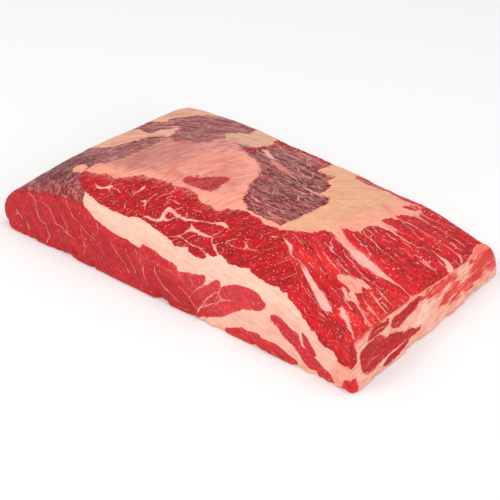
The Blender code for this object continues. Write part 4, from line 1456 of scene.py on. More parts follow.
@dataclass(frozen=True)
class LayerForms:
    """The forms that cut the slab into its layers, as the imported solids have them."""

    form: SlabForm
    cut_left: float = -175.0
    cut_right: float = 175.0
    cut_front: float = -15.0
    cut_back: float = 190.0
    cut_lid: float = 93.0
    flat_columns: tuple = (0.9, 17, 0.93, 5)
    point_columns: int = 21
    rows: int = 12
    flat_end_height: tuple = (27.0, 10.0)
    flat_end_round: float = 16.0
    flat_end_blunt: float = 0.98
    flat_floor: float = -12.0
    flat_lift_first: float = 0.35
    flat_lift_rate: float = 1.25
    flat_lift_top: float = 0.85
    sheet_rings: tuple = (0.3, 0.6, 0.85, 1.0)
    sheet_thick: float = 5.0
    sheet_rim: float = 2.0
    sheet_steps: int = 2

    def flat_rule(self, column: Array, row: Array, level: Array) -> Array:
        """Places on the form of the flat muscle for shares of length, depth and height."""
        setback = between((self.cut_front, self.cut_back), row)
        share = np.clip(setback / self.form.back_setback, 0.0, 1.0)
        end = between(self.form.flat_end, share)
        lift = between(self.form.flat_lift, share)
        tip = between(self.flat_end_height, share)
        x = self.cut_left + (end - self.cut_left) * column
        rise = np.clip((x - lift) / (end - lift), 0.0, None)
        lifted = np.clip(rise * self.flat_lift_rate + self.flat_lift_first, 0.0, 1.0) * (rise > 0)
        under = self.flat_floor + (self.flat_lift_top * tip - self.flat_floor) * lifted
        over = self.form.flat_top(x, setback)
        turn = np.clip((x - end + self.flat_end_round) / self.flat_end_round, 0.0, 1.0)
        pull = 1.0 - np.sqrt(1.0 - np.minimum(turn, self.flat_end_blunt) ** 2)
        over = over + (tip - over) * pull
        under = under + (tip - under) * pull
        height = under + (over - under) * level
        return np.stack([x, setback - self.form.back_setback / 2.0, height], axis=1)

    def point_rule(self, column: Array, row: Array, level: Array) -> Array:
        """Places on the form above the underside of the point muscle."""
        x = between((self.cut_left, self.cut_right), column)
        setback = between((self.cut_front, self.cut_back), row)
        base = self.form.point_base(x, setback)
        height = base + (self.cut_lid - base) * level
        return np.stack([x, setback - self.form.back_setback / 2.0, height], axis=1)

    def flat(self) -> bpy.types.Object:
        """The form of the flat muscle."""
        last, count, first, end_count = self.flat_columns
        columns = np.concatenate([np.linspace(0.0, last, count), np.linspace(first, 1.0, end_count)])
        return self.block("flat_form", self.flat_rule, columns)

    def point(self) -> bpy.types.Object:
        """The form above the underside of the point muscle."""
        return self.block("point_form", self.point_rule, np.linspace(0.0, 1.0, self.point_columns))

    def block(
        self, name: str, rule: Callable[[Array, Array, Array], Array], columns: Array
    ) -> bpy.types.Object:
        """A cutting form from a block with a rule for its places."""
        cage = block_cage(columns, np.linspace(0.0, 1.0, self.rows), np.array([0.0, 1.0]))
        return object_of(name, shape_cage(cage, name, rule, True))

    def sheet(self, name: str, outline: Sequence[Point]) -> bpy.types.Object:
        """Form over a sheet of fat, whose underside lies below the top of the slab.

        Args:
            name: Name of the form.
            outline: Outline of the sheet in plan, as x and setback, anticlockwise.

        Returns:
            The form, a fan of rings closed over by a lid.
        """
        line = drawn_curve(outline, self.sheet_steps, True)
        middle = line.mean(axis=0)

        def underside(place: Array, ring: float) -> Vector:
            """The place under the top of the slab at a ring."""
            depth = self.sheet_rim + (self.sheet_thick - self.sheet_rim) * (1.0 - ring**3)
            setback = min(place[1], self.form.back_setback)
            top = self.form.top_height(np.array([place[0]]), np.array([setback]))[0]
            return Vector((place[0], place[1] - self.form.back_setback / 2.0, top - depth)) * MM

        solid = bmesh.new()
        centre = solid.verts.new(underside(middle, 0.0))
        rings = []
        for ring in self.sheet_rings:
            places = middle + (line - middle) * ring
            rings.append([solid.verts.new(underside(place, ring)) for place in places])
        rings.append([solid.verts.new((v.co.x, v.co.y, self.cut_lid * MM)) for v in rings[-1]])
        for spoke in range(len(line)):
            following = (spoke + 1) % len(line)
            solid.faces.new((centre, rings[0][following], rings[0][spoke]))
            for inner, outer in zip(rings, rings[1:]):
                solid.faces.new((inner[spoke], inner[following], outer[following], outer[spoke]))
        solid.faces.new(rings[-1])
        bmesh.ops.triangulate(solid, faces=solid.faces[:-1], quad_method="FIXED")
        bmesh.ops.recalc_face_normals(solid, faces=solid.faces)
        mesh = bpy.data.meshes.new(name)
        solid.to_mesh(mesh)
        solid.free()
        return object_of(name, mesh)


MEMBRANE_PLAN = (
    (-98.0, 42.0), (-90.0, 40.0), (-78.0, 41.0), (-62.0, 46.0), (-40.0, 48.0), (-15.0, 50.0),
    (8.0, 44.0), (13.0, 60.0), (7.0, 84.0), (-4.0, 106.0), (-24.0, 121.0), (-33.0, 132.0),
    (-30.0, 150.0), (-28.0, 190.0), (-46.0, 190.0), (-50.0, 150.0), (-66.0, 130.0),
    (-84.0, 106.0), (-90.0, 74.0), (-96.0, 54.0),
)
CAP_PLAN = (
    (56.0, 55.0), (66.0, 60.0), (76.0, 78.0), (82.0, 98.0), (88.0, 120.0), (95.0, 150.0),
    (98.0, 190.0), (44.0, 190.0), (38.0, 150.0), (38.0, 134.0), (46.0, 120.0), (55.0, 108.0),
    (57.0, 90.0), (54.0, 72.0),
)


@dataclass(frozen=True)
class Ramp:
    """A soft step from start at low to end at high."""

    low: float
    high: float
    start: float = 0.0
    end: float = 1.0


@dataclass(frozen=True)
class Weave:
    """A noise, with its wave in millimetres and how far it is drawn out along the fibres."""

    wave: float
    detail: float = 2.0
    roughness: float = 0.5
    along: float = 1.0


class Wire:
    """A value in a tree of nodes, with plain sums on it."""

    def __init__(self, draft: "Draft", socket: bpy.types.NodeSocket) -> None:
        """Takes an output of a node of the draft."""
        self.draft = draft
        self.socket = socket

    def __add__(self, other: "Value") -> "Wire":
        """The two added."""
        return self.draft.maths("ADD", self, other)

    def __sub__(self, other: "Value") -> "Wire":
        """This less the other."""
        return self.draft.maths("SUBTRACT", self, other)

    def __mul__(self, other: "Value") -> "Wire":
        """The two multiplied."""
        return self.draft.maths("MULTIPLY", self, other)

    def higher(self, other: "Value") -> "Wire":
        """The higher of the two."""
        return self.draft.maths("MAXIMUM", self, other)

    def line(self, start: float, rate: float) -> "Wire":
        """Start where this is 0, and rate more for each unit of it."""
        return self.draft.maths("MULTIPLY_ADD", self, rate, start)

    def step(self, ramp: Ramp) -> "Wire":
        """This run through a soft step."""
        node = self.draft.add("ShaderNodeMapRange", interpolation_type="SMOOTHSTEP")
        names = ("Value", "From Min", "From Max", "To Min", "To Max")
        for name, item in zip(names, (self, ramp.low, ramp.high, ramp.start, ramp.end)):
            self.draft.feed(node.inputs[name], item)
        return Wire(self.draft, node.outputs["Result"])

    def toned(self, factor: "Value") -> "Wire":
        """This colour or vector with each part multiplied by one factor."""
        node = self.draft.add("ShaderNodeVectorMath", operation="SCALE")
        self.draft.feed(node.inputs[0], self)
        self.draft.feed(node.inputs["Scale"], factor)
        return Wire(self.draft, node.outputs[0])

    def tinted(self, factors: tuple) -> "Wire":
        """This colour or vector with each part multiplied by a factor of its own."""
        node = self.draft.add("ShaderNodeVectorMath", operation="MULTIPLY")
        self.draft.feed(node.inputs[0], self)
        self.draft.feed(node.inputs[1], factors)
        return Wire(self.draft, node.outputs[0])

    def mixed(self, share: "Value", other: "Value") -> "Wire":
        """This colour where share is 0, and the other one where it is 1."""
        node = self.draft.add("ShaderNodeMix", data_type="RGBA")
        self.draft.feed(node.inputs["Factor"], share)
        for name, colour in (("A", self), ("B", other)):
            socket = [s for s in node.inputs if s.name == name and s.type == "RGBA"][0]
            self.draft.feed(socket, (*colour, 1.0) if isinstance(colour, tuple) else colour)
        return Wire(self.draft, [s for s in node.outputs if s.type == "RGBA"][0])


Value = Union[Wire, bpy.types.NodeSocket, float, tuple, str]


class Draft:
    """Shorthand for drawing a tree of nodes."""

    def __init__(self, tree: bpy.types.NodeTree) -> None:
        """Draws on the given tree."""
        self.tree = tree

    def add(self, kind: str, **settings: str) -> bpy.types.Node:
        """A new node with the given settings."""
        node = self.tree.nodes.new(kind)
        for name, value in settings.items():
            setattr(node, name, value)
        return node

    def feed(self, socket: bpy.types.NodeSocket, value: Value) -> None:
        """Links or writes a value to a socket."""
        source = value.socket if isinstance(value, Wire) else value
        if isinstance(source, bpy.types.NodeSocket):
            self.tree.links.new(source, socket)
        else:
            socket.default_value = source

    def read(self, name: str, output: str = "Fac") -> Wire:
        """An attribute of the mesh."""
        return Wire(self, self.add("ShaderNodeAttribute", attribute_name=name).outputs[output])

    def maths(self, operation: str, *values: Value) -> Wire:
        """Result of a sum on numbers."""
        node = self.add("ShaderNodeMath", operation=operation)
        for socket, value in zip(node.inputs, values):
            self.feed(socket, value)
        return Wire(self, node.outputs[0])

    def parts(self, colour: Wire) -> tuple[Wire, ...]:
        """The three parts of a colour."""
        node = self.add("ShaderNodeSeparateColor")
        self.feed(node.inputs[0], colour)
        return tuple(Wire(self, output) for output in node.outputs)

    def cells(self, vector: Wire, width: float) -> tuple[Wire, Wire]:
        """Distance to the middle of the nearest cell, and the cell's random colour."""
        node = self.add("ShaderNodeTexVoronoi")
        self.feed(node.inputs["Vector"], vector)
        node.inputs["Scale"].default_value = 1.0 / width
        return Wire(self, node.outputs["Distance"]), Wire(self, node.outputs["Color"])

    def noise(self, vector: Wire, weave: Weave) -> Wire:
        """Noise from 0 to 1 over the places that a vector gives."""
        node = self.add("ShaderNodeTexNoise")
        self.feed(node.inputs["Vector"], vector.tinted((weave.along, 1.0, 1.0)))
        node.inputs["Scale"].default_value = 1.0 / weave.wave
        node.inputs["Detail"].default_value = weave.detail
        node.inputs["Roughness"].default_value = weave.roughness
        return Wire(self, node.outputs["Fac"])


@dataclass(frozen=True)
class Spot:
    """What a finish knows of one spot: its fields, the noises there and the fibre cut there."""

    share: Wire
    film: Wire
    marble: Wire
    bundles: Wire
    threads: Wire
    blotch: Wire
    grit: Wire
    fine: Wire
    patchy: Wire
    gap: Wire
    pick: Wire
    shade: Wire
    wet: Wire


@dataclass(frozen=True)
class MeatFinish:
    """Finish of wet raw meat, drawn from the fields that each point of a piece carries."""

    name: str
    specular: float = 0.22
    cut_gloss: Ramp = Ramp(0.0, 1.0, 0.36, 0.46)
    film_gloss: float = -0.02
    wet_roughness: float = 0.14
    wet_chance: Ramp = Ramp(0.86, 0.9)
    bump: float = 0.42

    bundle_spacing: float = 3.7
    bundles: Weave = Weave(3.4, along=0.12)
    threads: Weave = Weave(1.0, 1.5, along=0.055)
    blotch: Weave = Weave(3.1, 3.0, 0.65, along=0.28)
    grit: Weave = Weave(1.9, 2.0, 0.6, along=0.45)
    fine: Weave = Weave(0.9, 2.0, 0.6)
    patchy: Weave = Weave(7.0)
    fibre_along: float = 0.5
    fibre_width: float = 0.9

    border: Ramp = Ramp(-0.22, 0.22)
    border_wander: float = 1.5
    fray: float = 5.0
    tear: Ramp = Ramp(0.6, 0.76, 0.0, 11.0)
    vein: Ramp = Ramp(0.4, 1.7, 0.7, 0.0)
    vein_wander: float = 0.5
    vein_grain: Ramp = Ramp(0.36, 0.58, 0.35, 1.1)
    thread: Ramp = Ramp(-0.01, 0.035, 0.0, 0.7)
    thread_level: tuple = (0.76, -0.10)
    bareness: tuple = (1.0, -0.6)

    rim_tone: Ramp = Ramp(-2.8, -0.3, 1.0, 1.12)
    patch_tone: Ramp = Ramp(0.3, 0.7, 0.91, 1.09)
    # Painted shade: lean darker in the low gaps between bundles and towards the edges of each cut fibre, with
    # tone that also varies at random
    bundle_tone_and_cleft_shade: Ramp = Ramp(0.32, 0.68, -0.18, 0.18)
    fibre_tone_and_gap_shade: float = 0.38
    fibre_middle: float = 0.25
    contrast: tuple = (0.5, 0.7)
    wrinkle: Ramp = Ramp(0.46, 0.58, 0.0, 0.8)
    wrinkle_grit: float = 0.55
    knit: Ramp = Ramp(0.5, 0.64, 0.0, 0.62)
    haze: Ramp = Ramp(0.54, 0.74, 0.0, 0.06)
    # Pale flecks in a few cells of the lean: partly fat, partly painted glints of wet fibres
    fleck_and_glint_level: tuple = (0.97, -0.05)
    fleck_and_glint_chance: Ramp = Ramp(0.0, 0.03)
    fleck_and_glint_spot: Ramp = Ramp(0.2, 0.48, 0.85, 0.0)

    fat_tone: Ramp = Ramp(0.3, 0.7, 0.95, 1.04)
    line_share: Ramp = Ramp(0.46, 0.66, 0.0, 0.5)
    line_tint: tuple = (0.95, 0.74, 0.68)
    thinness: tuple = (0.4, 0.6)
    red_share: Ramp = Ramp(0.47, 0.66, 0.0, 0.5)
    red_tint: tuple = (0.72, 0.38, 0.42)
    white_share: Ramp = Ramp(0.34, 0.47, 0.4, 0.0)

    calm: Ramp = Ramp(-1.4, 1.4)
    swell_height: tuple = (1.6, -1.0)
    dip_middle: float = 0.4
    dip_height: tuple = (-0.8, 0.6)

    def material(self) -> bpy.types.Material:
        """The material of a layer."""
        material = bpy.data.materials.new(self.name)
        material.use_nodes = True
        draft = Draft(material.node_tree)
        spot = self.spot(draft)
        cover = self.cover(draft, spot)
        colour = self.lean(draft, spot).mixed(cover, self.fat(draft, spot))
        bump = draft.add("ShaderNodeBump")
        bump.inputs["Strength"].default_value = 1.0
        bump.inputs["Distance"].default_value = MM * self.bump
        draft.feed(bump.inputs["Height"], self.height(spot))
        shader = material.node_tree.nodes["Principled BSDF"]
        shader.inputs["Specular IOR Level"].default_value = self.specular
        draft.feed(shader.inputs["Base Color"], colour)
        draft.feed(shader.inputs["Roughness"], self.roughness(spot, cover))
        draft.feed(shader.inputs["Normal"], bump.outputs[0])
        return material

    def spot(self, draft: Draft) -> Spot:
        """The fields, the noises and the cut fibres."""
        place = Wire(draft, draft.add("ShaderNodeTexCoord").outputs["Object"]).toned(1.0 / MM)
        run = draft.read("fibre", "Vector").tinted((1.0, 1.0, self.bundle_spacing))
        fields = (draft.read(name) for name in ("share", "film", "marble"))
        drawn_out = (self.bundles, self.threads, self.blotch, self.grit)
        noises = [draft.noise(run, weave) for weave in drawn_out]
        noises += [draft.noise(place, weave) for weave in (self.fine, self.patchy)]
        gap, drawn = draft.cells(run.tinted((self.fibre_along, 1.0, 1.0)), self.fibre_width)
        return Spot(*fields, *noises, gap, *draft.parts(drawn))

    def cover(self, draft: Draft, spot: Spot) -> Wire:
        """How far fat covers the spot: inside a stretch of it, on a vein or on a thread."""
        ragged = (spot.fine - 0.5) * self.border_wander
        torn = (spot.blotch - 0.5) * spot.film.step(self.tear)
        frayed = (spot.threads - 0.5) * self.fray * spot.marble
        inside = (spot.share + ragged + frayed + torn).step(self.border)
        strand = draft.maths("ABSOLUTE", draft.read("side")).higher(draft.read("far"))
        vein = (strand + ragged * self.vein_wander).step(self.vein) * spot.grit.step(self.vein_grain)
        thread = (spot.threads - spot.marble.line(*self.thread_level)).step(self.thread)
        return vein.higher(thread * spot.film.line(*self.bareness)).higher(inside)

    def lean(self, draft: Draft, spot: Spot) -> Wire:
        """Colour of the lean, uneven by bundles, patches, cut fibres and painted shade, with flecks and
        painted glints.
        """
        lean = draft.read("lean", "Color").toned(spot.share.step(self.rim_tone))
        lean = lean.toned(spot.patchy.step(self.patch_tone))
        # Painted shade: darker towards the edges of each cut fibre and where the bundles dip, on top of a
        # random tone per fibre and bundle
        fibre = (spot.shade - self.fibre_middle - spot.gap) * self.fibre_tone_and_gap_shade
        tone = (fibre + spot.bundles.step(self.bundle_tone_and_cleft_shade)) * spot.marble.line(*self.contrast)
        lean = lean.toned(tone + 1.0)
        # Pale streaks on the dry skin: partly its own colour, partly painted glints along its wrinkles
        wrinkle = (spot.grit - spot.blotch) * self.wrinkle_grit + spot.blotch
        knit = spot.marble * spot.grit.step(self.knit)
        dry_streak_and_glint = spot.film * wrinkle.step(self.wrinkle).higher(knit)
        lean = lean.mixed(dry_streak_and_glint, tuple(Hue.DRY_STREAK_AND_GLINT.linear()))
        pale = draft.read("fat", "Color").mixed(0.5, tuple(Hue.FLECK_AND_GLINT.linear()))
        lean = lean.mixed(spot.grit.step(self.haze), pale)
        # Pale flecks in a few cells: partly fat between the fibres, partly painted glints of wet fibres
        chance = (spot.pick - spot.marble.line(*self.fleck_and_glint_level)).step(self.fleck_and_glint_chance)
        fleck_and_glint = chance * spot.gap.step(self.fleck_and_glint_spot)
        return lean.mixed(fleck_and_glint * spot.film.line(*self.bareness), pale)

    def fat(self, draft: Draft, spot: Spot) -> Wire:
        """Colour of the fat, with redder and paler streaks where it is a thin skin."""
        fat = draft.read("fat", "Color").toned(spot.patchy.step(self.fat_tone))
        fat = fat.mixed(spot.threads.step(self.line_share), fat.tinted(self.line_tint))
        thin = spot.film.line(*self.thinness)
        fat = fat.mixed(thin * spot.blotch.step(self.red_share), fat.tinted(self.red_tint))
        return fat.mixed(thin * spot.blotch.step(self.white_share), tuple(Hue.PALE_STREAK.linear()))

    def roughness(self, spot: Spot, cover: Wire) -> Wire:
        """Roughness of the surface, low where a fibre is wet."""
        rough = cover.step(self.cut_gloss) + spot.film * self.film_gloss
        wet = spot.wet.step(self.wet_chance)
        return rough + (rough.line(self.wet_roughness, -1.0)) * wet

    def height(self, spot: Spot) -> Wire:
        """Height of the fine relief: swollen bundles, dips between fibres, and wrinkles."""
        calm = spot.share.step(self.calm)
        swollen = (spot.bundles - 0.5) * calm.line(*self.swell_height)
        dips = (spot.gap - self.dip_middle) * calm.line(*self.dip_height)
        return swollen + spot.fine + dips + spot.film * spot.blotch


class Cut(Enum):
    """What a form does to the slab."""

    KEEP = "INTERSECT"
    TAKE = "DIFFERENCE"


@dataclass
class MeatBlock:
    """The whole block of meat in relief, and the fields at each of its points."""

    form: SlabForm
    skin: Skin
    relief: Relief
    low: tuple
    high: tuple

    def __post_init__(self) -> None:
        """Works out the relief and makes the mesh."""
        self.map = MeatMap(self.form)
        fields = self.map.fields(self.skin.places, self.skin.normals)
        heights = self.relief.heights(self.skin.places, fields)
        raised = self.skin.places + self.skin.normals * heights[:, None]
        self.places = np.clip(self.relief.notched(raised, self.low, self.high), self.low, self.high)
        self.mesh = mesh_of("meat_block", self.places, self.skin.faces)
        self.tree = KDTree(len(self.places))
        for number, place in enumerate(self.places):
            self.tree.insert(place, number)
        self.tree.balance()

    def fields_at(self, places: Array) -> tuple[Fields, Array, Array]:
        """Fields at places on the raised surface.

        Args:
            places: Places on the raised surface.

        Returns:
            The fields, the outward normal of the smooth slab at each place, and how far
            the place lies from the points of the raised surface.
        """
        found = [self.tree.find(place) for place in places]
        nearest = np.array([number for _, number, _ in found])
        depth = np.array([distance for _, _, distance in found])
        normals = self.skin.normals[nearest]
        smooth = places - (self.places - self.skin.places)[nearest]
        return self.map.fields(smooth, normals), normals, depth


@dataclass(frozen=True)
class Layer:
    """One layer of the brisket, cut from the block and dressed."""

    piece: str
    node: str
    slot: str
    cuts: tuple
    sharp_angle: float = 42.0
    outer_depth: float = 0.75
    room_share: float = -1.0
    room_margin: float = 0.5
    room_film: tuple = (0.2, 0.5)
    room_least: float = 0.25

    def build(
        self, block: MeatBlock, forms: dict[str, bpy.types.Object], finish: MeatFinish
    ) -> bpy.types.Object:
        """Cuts and dresses the layer.

        Args:
            block: The block of meat.
            forms: Forms that cut it, by name.
            finish: Finish of the meat.

        Returns:
            The piece.
        """
        mesh = self.cut(block, forms, "MANIFOLD")
        if not len(mesh.polygons):
            mesh = self.cut(block, forms, "EXACT")
        places = places_of(mesh)
        fields, normals, depth = block.fields_at(places)
        self.write(mesh, fields)
        self.write_fibres(mesh, fields, normals, places)
        self.write_room(mesh, fields, depth, block, places)
        BakeMap().write(mesh, places, depth < self.outer_depth)
        mesh.materials.clear()
        mesh.materials.append(finish.material())
        mesh.shade_smooth()
        mesh.set_sharp_from_angle(angle=math.radians(self.sharp_angle))
        piece = object_of(self.piece, mesh)
        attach(piece, BODY)
        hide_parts(self.node)
        return piece

    def cut(
        self, block: MeatBlock, forms: dict[str, bpy.types.Object], solver: str
    ) -> bpy.types.Mesh:
        """The mesh of the layer, cut by each form in turn."""
        item = object_of(self.piece + "_blank", block.mesh.copy())
        for cut, form in self.cuts:
            modifier = item.modifiers.new(form, "BOOLEAN")
            modifier.operation = cut.value
            modifier.object = forms[form]
            modifier.solver = solver
        mesh = evaluated_mesh(item)
        mesh.name = self.piece
        bpy.data.objects.remove(item)
        return mesh

    def write(self, mesh: bpy.types.Mesh, fields: Fields) -> None:
        """Writes the fields to the points of the mesh."""
        for name in ("share", "side", "far", "film", "marble"):
            mesh.attributes.new(name, "FLOAT", "POINT").data.foreach_set("value", getattr(fields, name))
        for name in ("lean", "fat"):
            rows = np.hstack([getattr(fields, name), np.ones((len(mesh.vertices), 1))])
            mesh.attributes.new(name, "FLOAT_COLOR", "POINT").data.foreach_set("color", rows.ravel())
        courses = mesh.attributes.new("course", "FLOAT_VECTOR", "POINT")
        courses.data.foreach_set("vector", fields.course.ravel())

    def write_fibres(self, mesh: bpy.types.Mesh, fields: Fields, normals: Array, places: Array) -> None:
        """Writes the place along and across the fibres, with one bundle to each face.

        Args:
            mesh: Mesh of the layer.
            fields: Fields at its points.
            normals: Outward normals at its points.
            places: Places of the points.
        """
        corners, owner, first = face_corners(mesh)
        lead = corners[first[owner]]
        step = places[corners] - places[lead]
        across = np.cross(normals[lead], fields.course[lead])
        moved = fields.fibre[lead].copy()
        moved[:, 0] += np.sum(step * fields.course[lead], axis=1)
        moved[:, 1] += np.sum(step * across, axis=1)
        own = fields.fibre[corners]
        same = np.abs(own[:, 2] - moved[:, 2]) < 0.5
        fibres = mesh.attributes.new("fibre", "FLOAT_VECTOR", "CORNER")
        fibres.data.foreach_set("vector", np.where(same[:, None], own, moved).ravel())

    def write_room(
        self, mesh: bpy.types.Mesh, fields: Fields, depth: Array, block: MeatBlock, places: Array
    ) -> None:
        """Writes how thickly flecks of fat may lie: on cut lean, well inside the box.

        Args:
            mesh: Mesh of the layer.
            fields: Fields at its points.
            depth: Distance of each point from the outer surface.
            block: The block of meat.
            places: Places of the points.
        """
        inner = np.minimum(places - block.low, np.array(block.high) - places).min(axis=1)
        room = (fields.share < self.room_share) & (depth < self.outer_depth) & (inner > self.room_margin)
        room = room * (1.0 - smooth_step(fields.film, *self.room_film)) * (self.room_least + fields.marble)
        mesh.attributes.new("room", "FLOAT", "POINT").data.foreach_set("value", room)


@dataclass(frozen=True)
class BakeMap:
    """Lays the faces of a layer flat side by side, the outer ones large."""

    name: str = "OFBake"
    outer_scale: float = 1.0
    hidden_scale: float = 0.45
    inner_scale: float = 0.22
    gap: float = 4.0
    least_facing: float = 0.05
    side_facing: float = 0.5

    def kinds(self, facing: Array, outer: Array) -> list:
        """Masks of faces of each kind, with the two directions and the scale of its flat map.

        Args:
            facing: Normal of each face.
            outer: Whether each face lies on the outer surface.

        Returns:
            Mask, first direction, second direction and scale of each kind.
        """
        along, back, up = np.eye(3)
        end = outer & (facing[:, 0] > self.side_facing) & (facing @ (along + up) > self.least_facing)
        cut = outer & ~end & (facing @ (up - back) > self.least_facing)
        rest = outer & ~end & ~cut
        kinds = [(cut, along, back + up, self.outer_scale), (end, back, up - along, self.outer_scale)]
        for group, scale in ((rest, self.hidden_scale), (~outer, self.inner_scale)):
            strongest = np.argmax(np.abs(facing), axis=1)
            for axis, (first, second) in enumerate(((back, up), (along, up), (along, back))):
                for sign in (-1.0, 1.0):
                    mask = group & (strongest == axis) & (np.sign(facing[:, axis]) == sign)
                    kinds.append((mask, first, second, scale))
        return [kind for kind in kinds if kind[0].any()]

    def write(self, mesh: bpy.types.Mesh, places: Array, outer: Array) -> None:
        """Writes the map to the mesh.

        Args:
            mesh: The mesh.
            places: Places of its points.
            outer: Whether each point lies on the outer surface.
        """
        count = len(mesh.polygons)
        facing = np.empty(count * 3)
        mesh.polygons.foreach_get("normal", facing)
        corners, owner, _ = face_corners(mesh)
        outside = np.bincount(owner, weights=~outer[corners], minlength=count) == 0.0

        flat = np.zeros((len(corners), 2))
        pieces = []
        for mask, first, second, scale in self.kinds(facing.reshape(-1, 3), outside):
            mine = mask[owner]
            spots = places[corners[mine]] @ np.stack([first, second], axis=1) * scale
            flat[mine] = spots - spots.min(axis=0)
            pieces.append((mine, np.ptp(spots, axis=0) + self.gap))
        pieces.sort(key=lambda piece: -piece[1][1])
        width = max(piece[1][0] for piece in pieces)
        x, y, row = 0.0, 0.0, 0.0
        for mine, size in pieces:
            if x + size[0] > width + CLOSE_ENOUGH:
                x, y, row = 0.0, y + row, 0.0
            flat[mine] += (x + self.gap / 2.0, y + self.gap / 2.0)
            x, row = x + size[0], max(row, size[1])
        layer = mesh.uv_layers.new(name=self.name)
        layer.data.foreach_set("uv", (flat / max(width, y + row)).ravel())


@dataclass(frozen=True)
class FlatMuscle(Layer):
    """The thick lean muscle at the bottom."""

    piece: str = "lean_of_flat"
    node: str = "flat_muscle"
    slot: str = "flat_lean"
    cuts: tuple = ((Cut.KEEP, "flat"),)


@dataclass(frozen=True)
class SeamFat(Layer):
    """The seam of fat between the two muscles, which wraps the end of the flat."""

    piece: str = "fat_of_seam"
    node: str = "seam_fat"
    slot: str = "seam_fat"
    cuts: tuple = ((Cut.TAKE, "flat"), (Cut.TAKE, "point"), (Cut.TAKE, "membrane"), (Cut.TAKE, "cap"))


@dataclass(frozen=True)
class PointMuscle(Layer):
    """The lean muscle above the seam."""

    piece: str = "lean_of_point"
    node: str = "point_muscle"
    slot: str = "point_lean"
    cuts: tuple = ((Cut.KEEP, "point"), (Cut.TAKE, "membrane"), (Cut.TAKE, "cap"))


@dataclass(frozen=True)
class MembraneFat(Layer):
    """The thin skin of fat on the left of the top."""

    piece: str = "skin_of_membrane"
    node: str = "membrane_fat"
    slot: str = "membrane"
    cuts: tuple = ((Cut.KEEP, "membrane"), (Cut.TAKE, "flat"))


@dataclass(frozen=True)
class CapFat(Layer):
    """The pad of hard fat on the right of the top."""

    piece: str = "fat_of_cap"
    node: str = "cap_fat"
    slot: str = "cap_fat"
    cuts: tuple = ((Cut.KEEP, "cap"), (Cut.TAKE, "flat"))


def plain_material(
    name: str, colour: Sequence[float], roughness: float, specular: float
) -> bpy.types.Material:
    """A material of one even colour, in linear light."""
    material = bpy.data.materials.new(name)
    material.use_nodes = True
    shader = material.node_tree.nodes["Principled BSDF"]
    shader.inputs["Base Color"].default_value = (*colour, 1.0)
    shader.inputs["Roughness"].default_value = roughness
    shader.inputs["Specular IOR Level"].default_value = specular
    return material


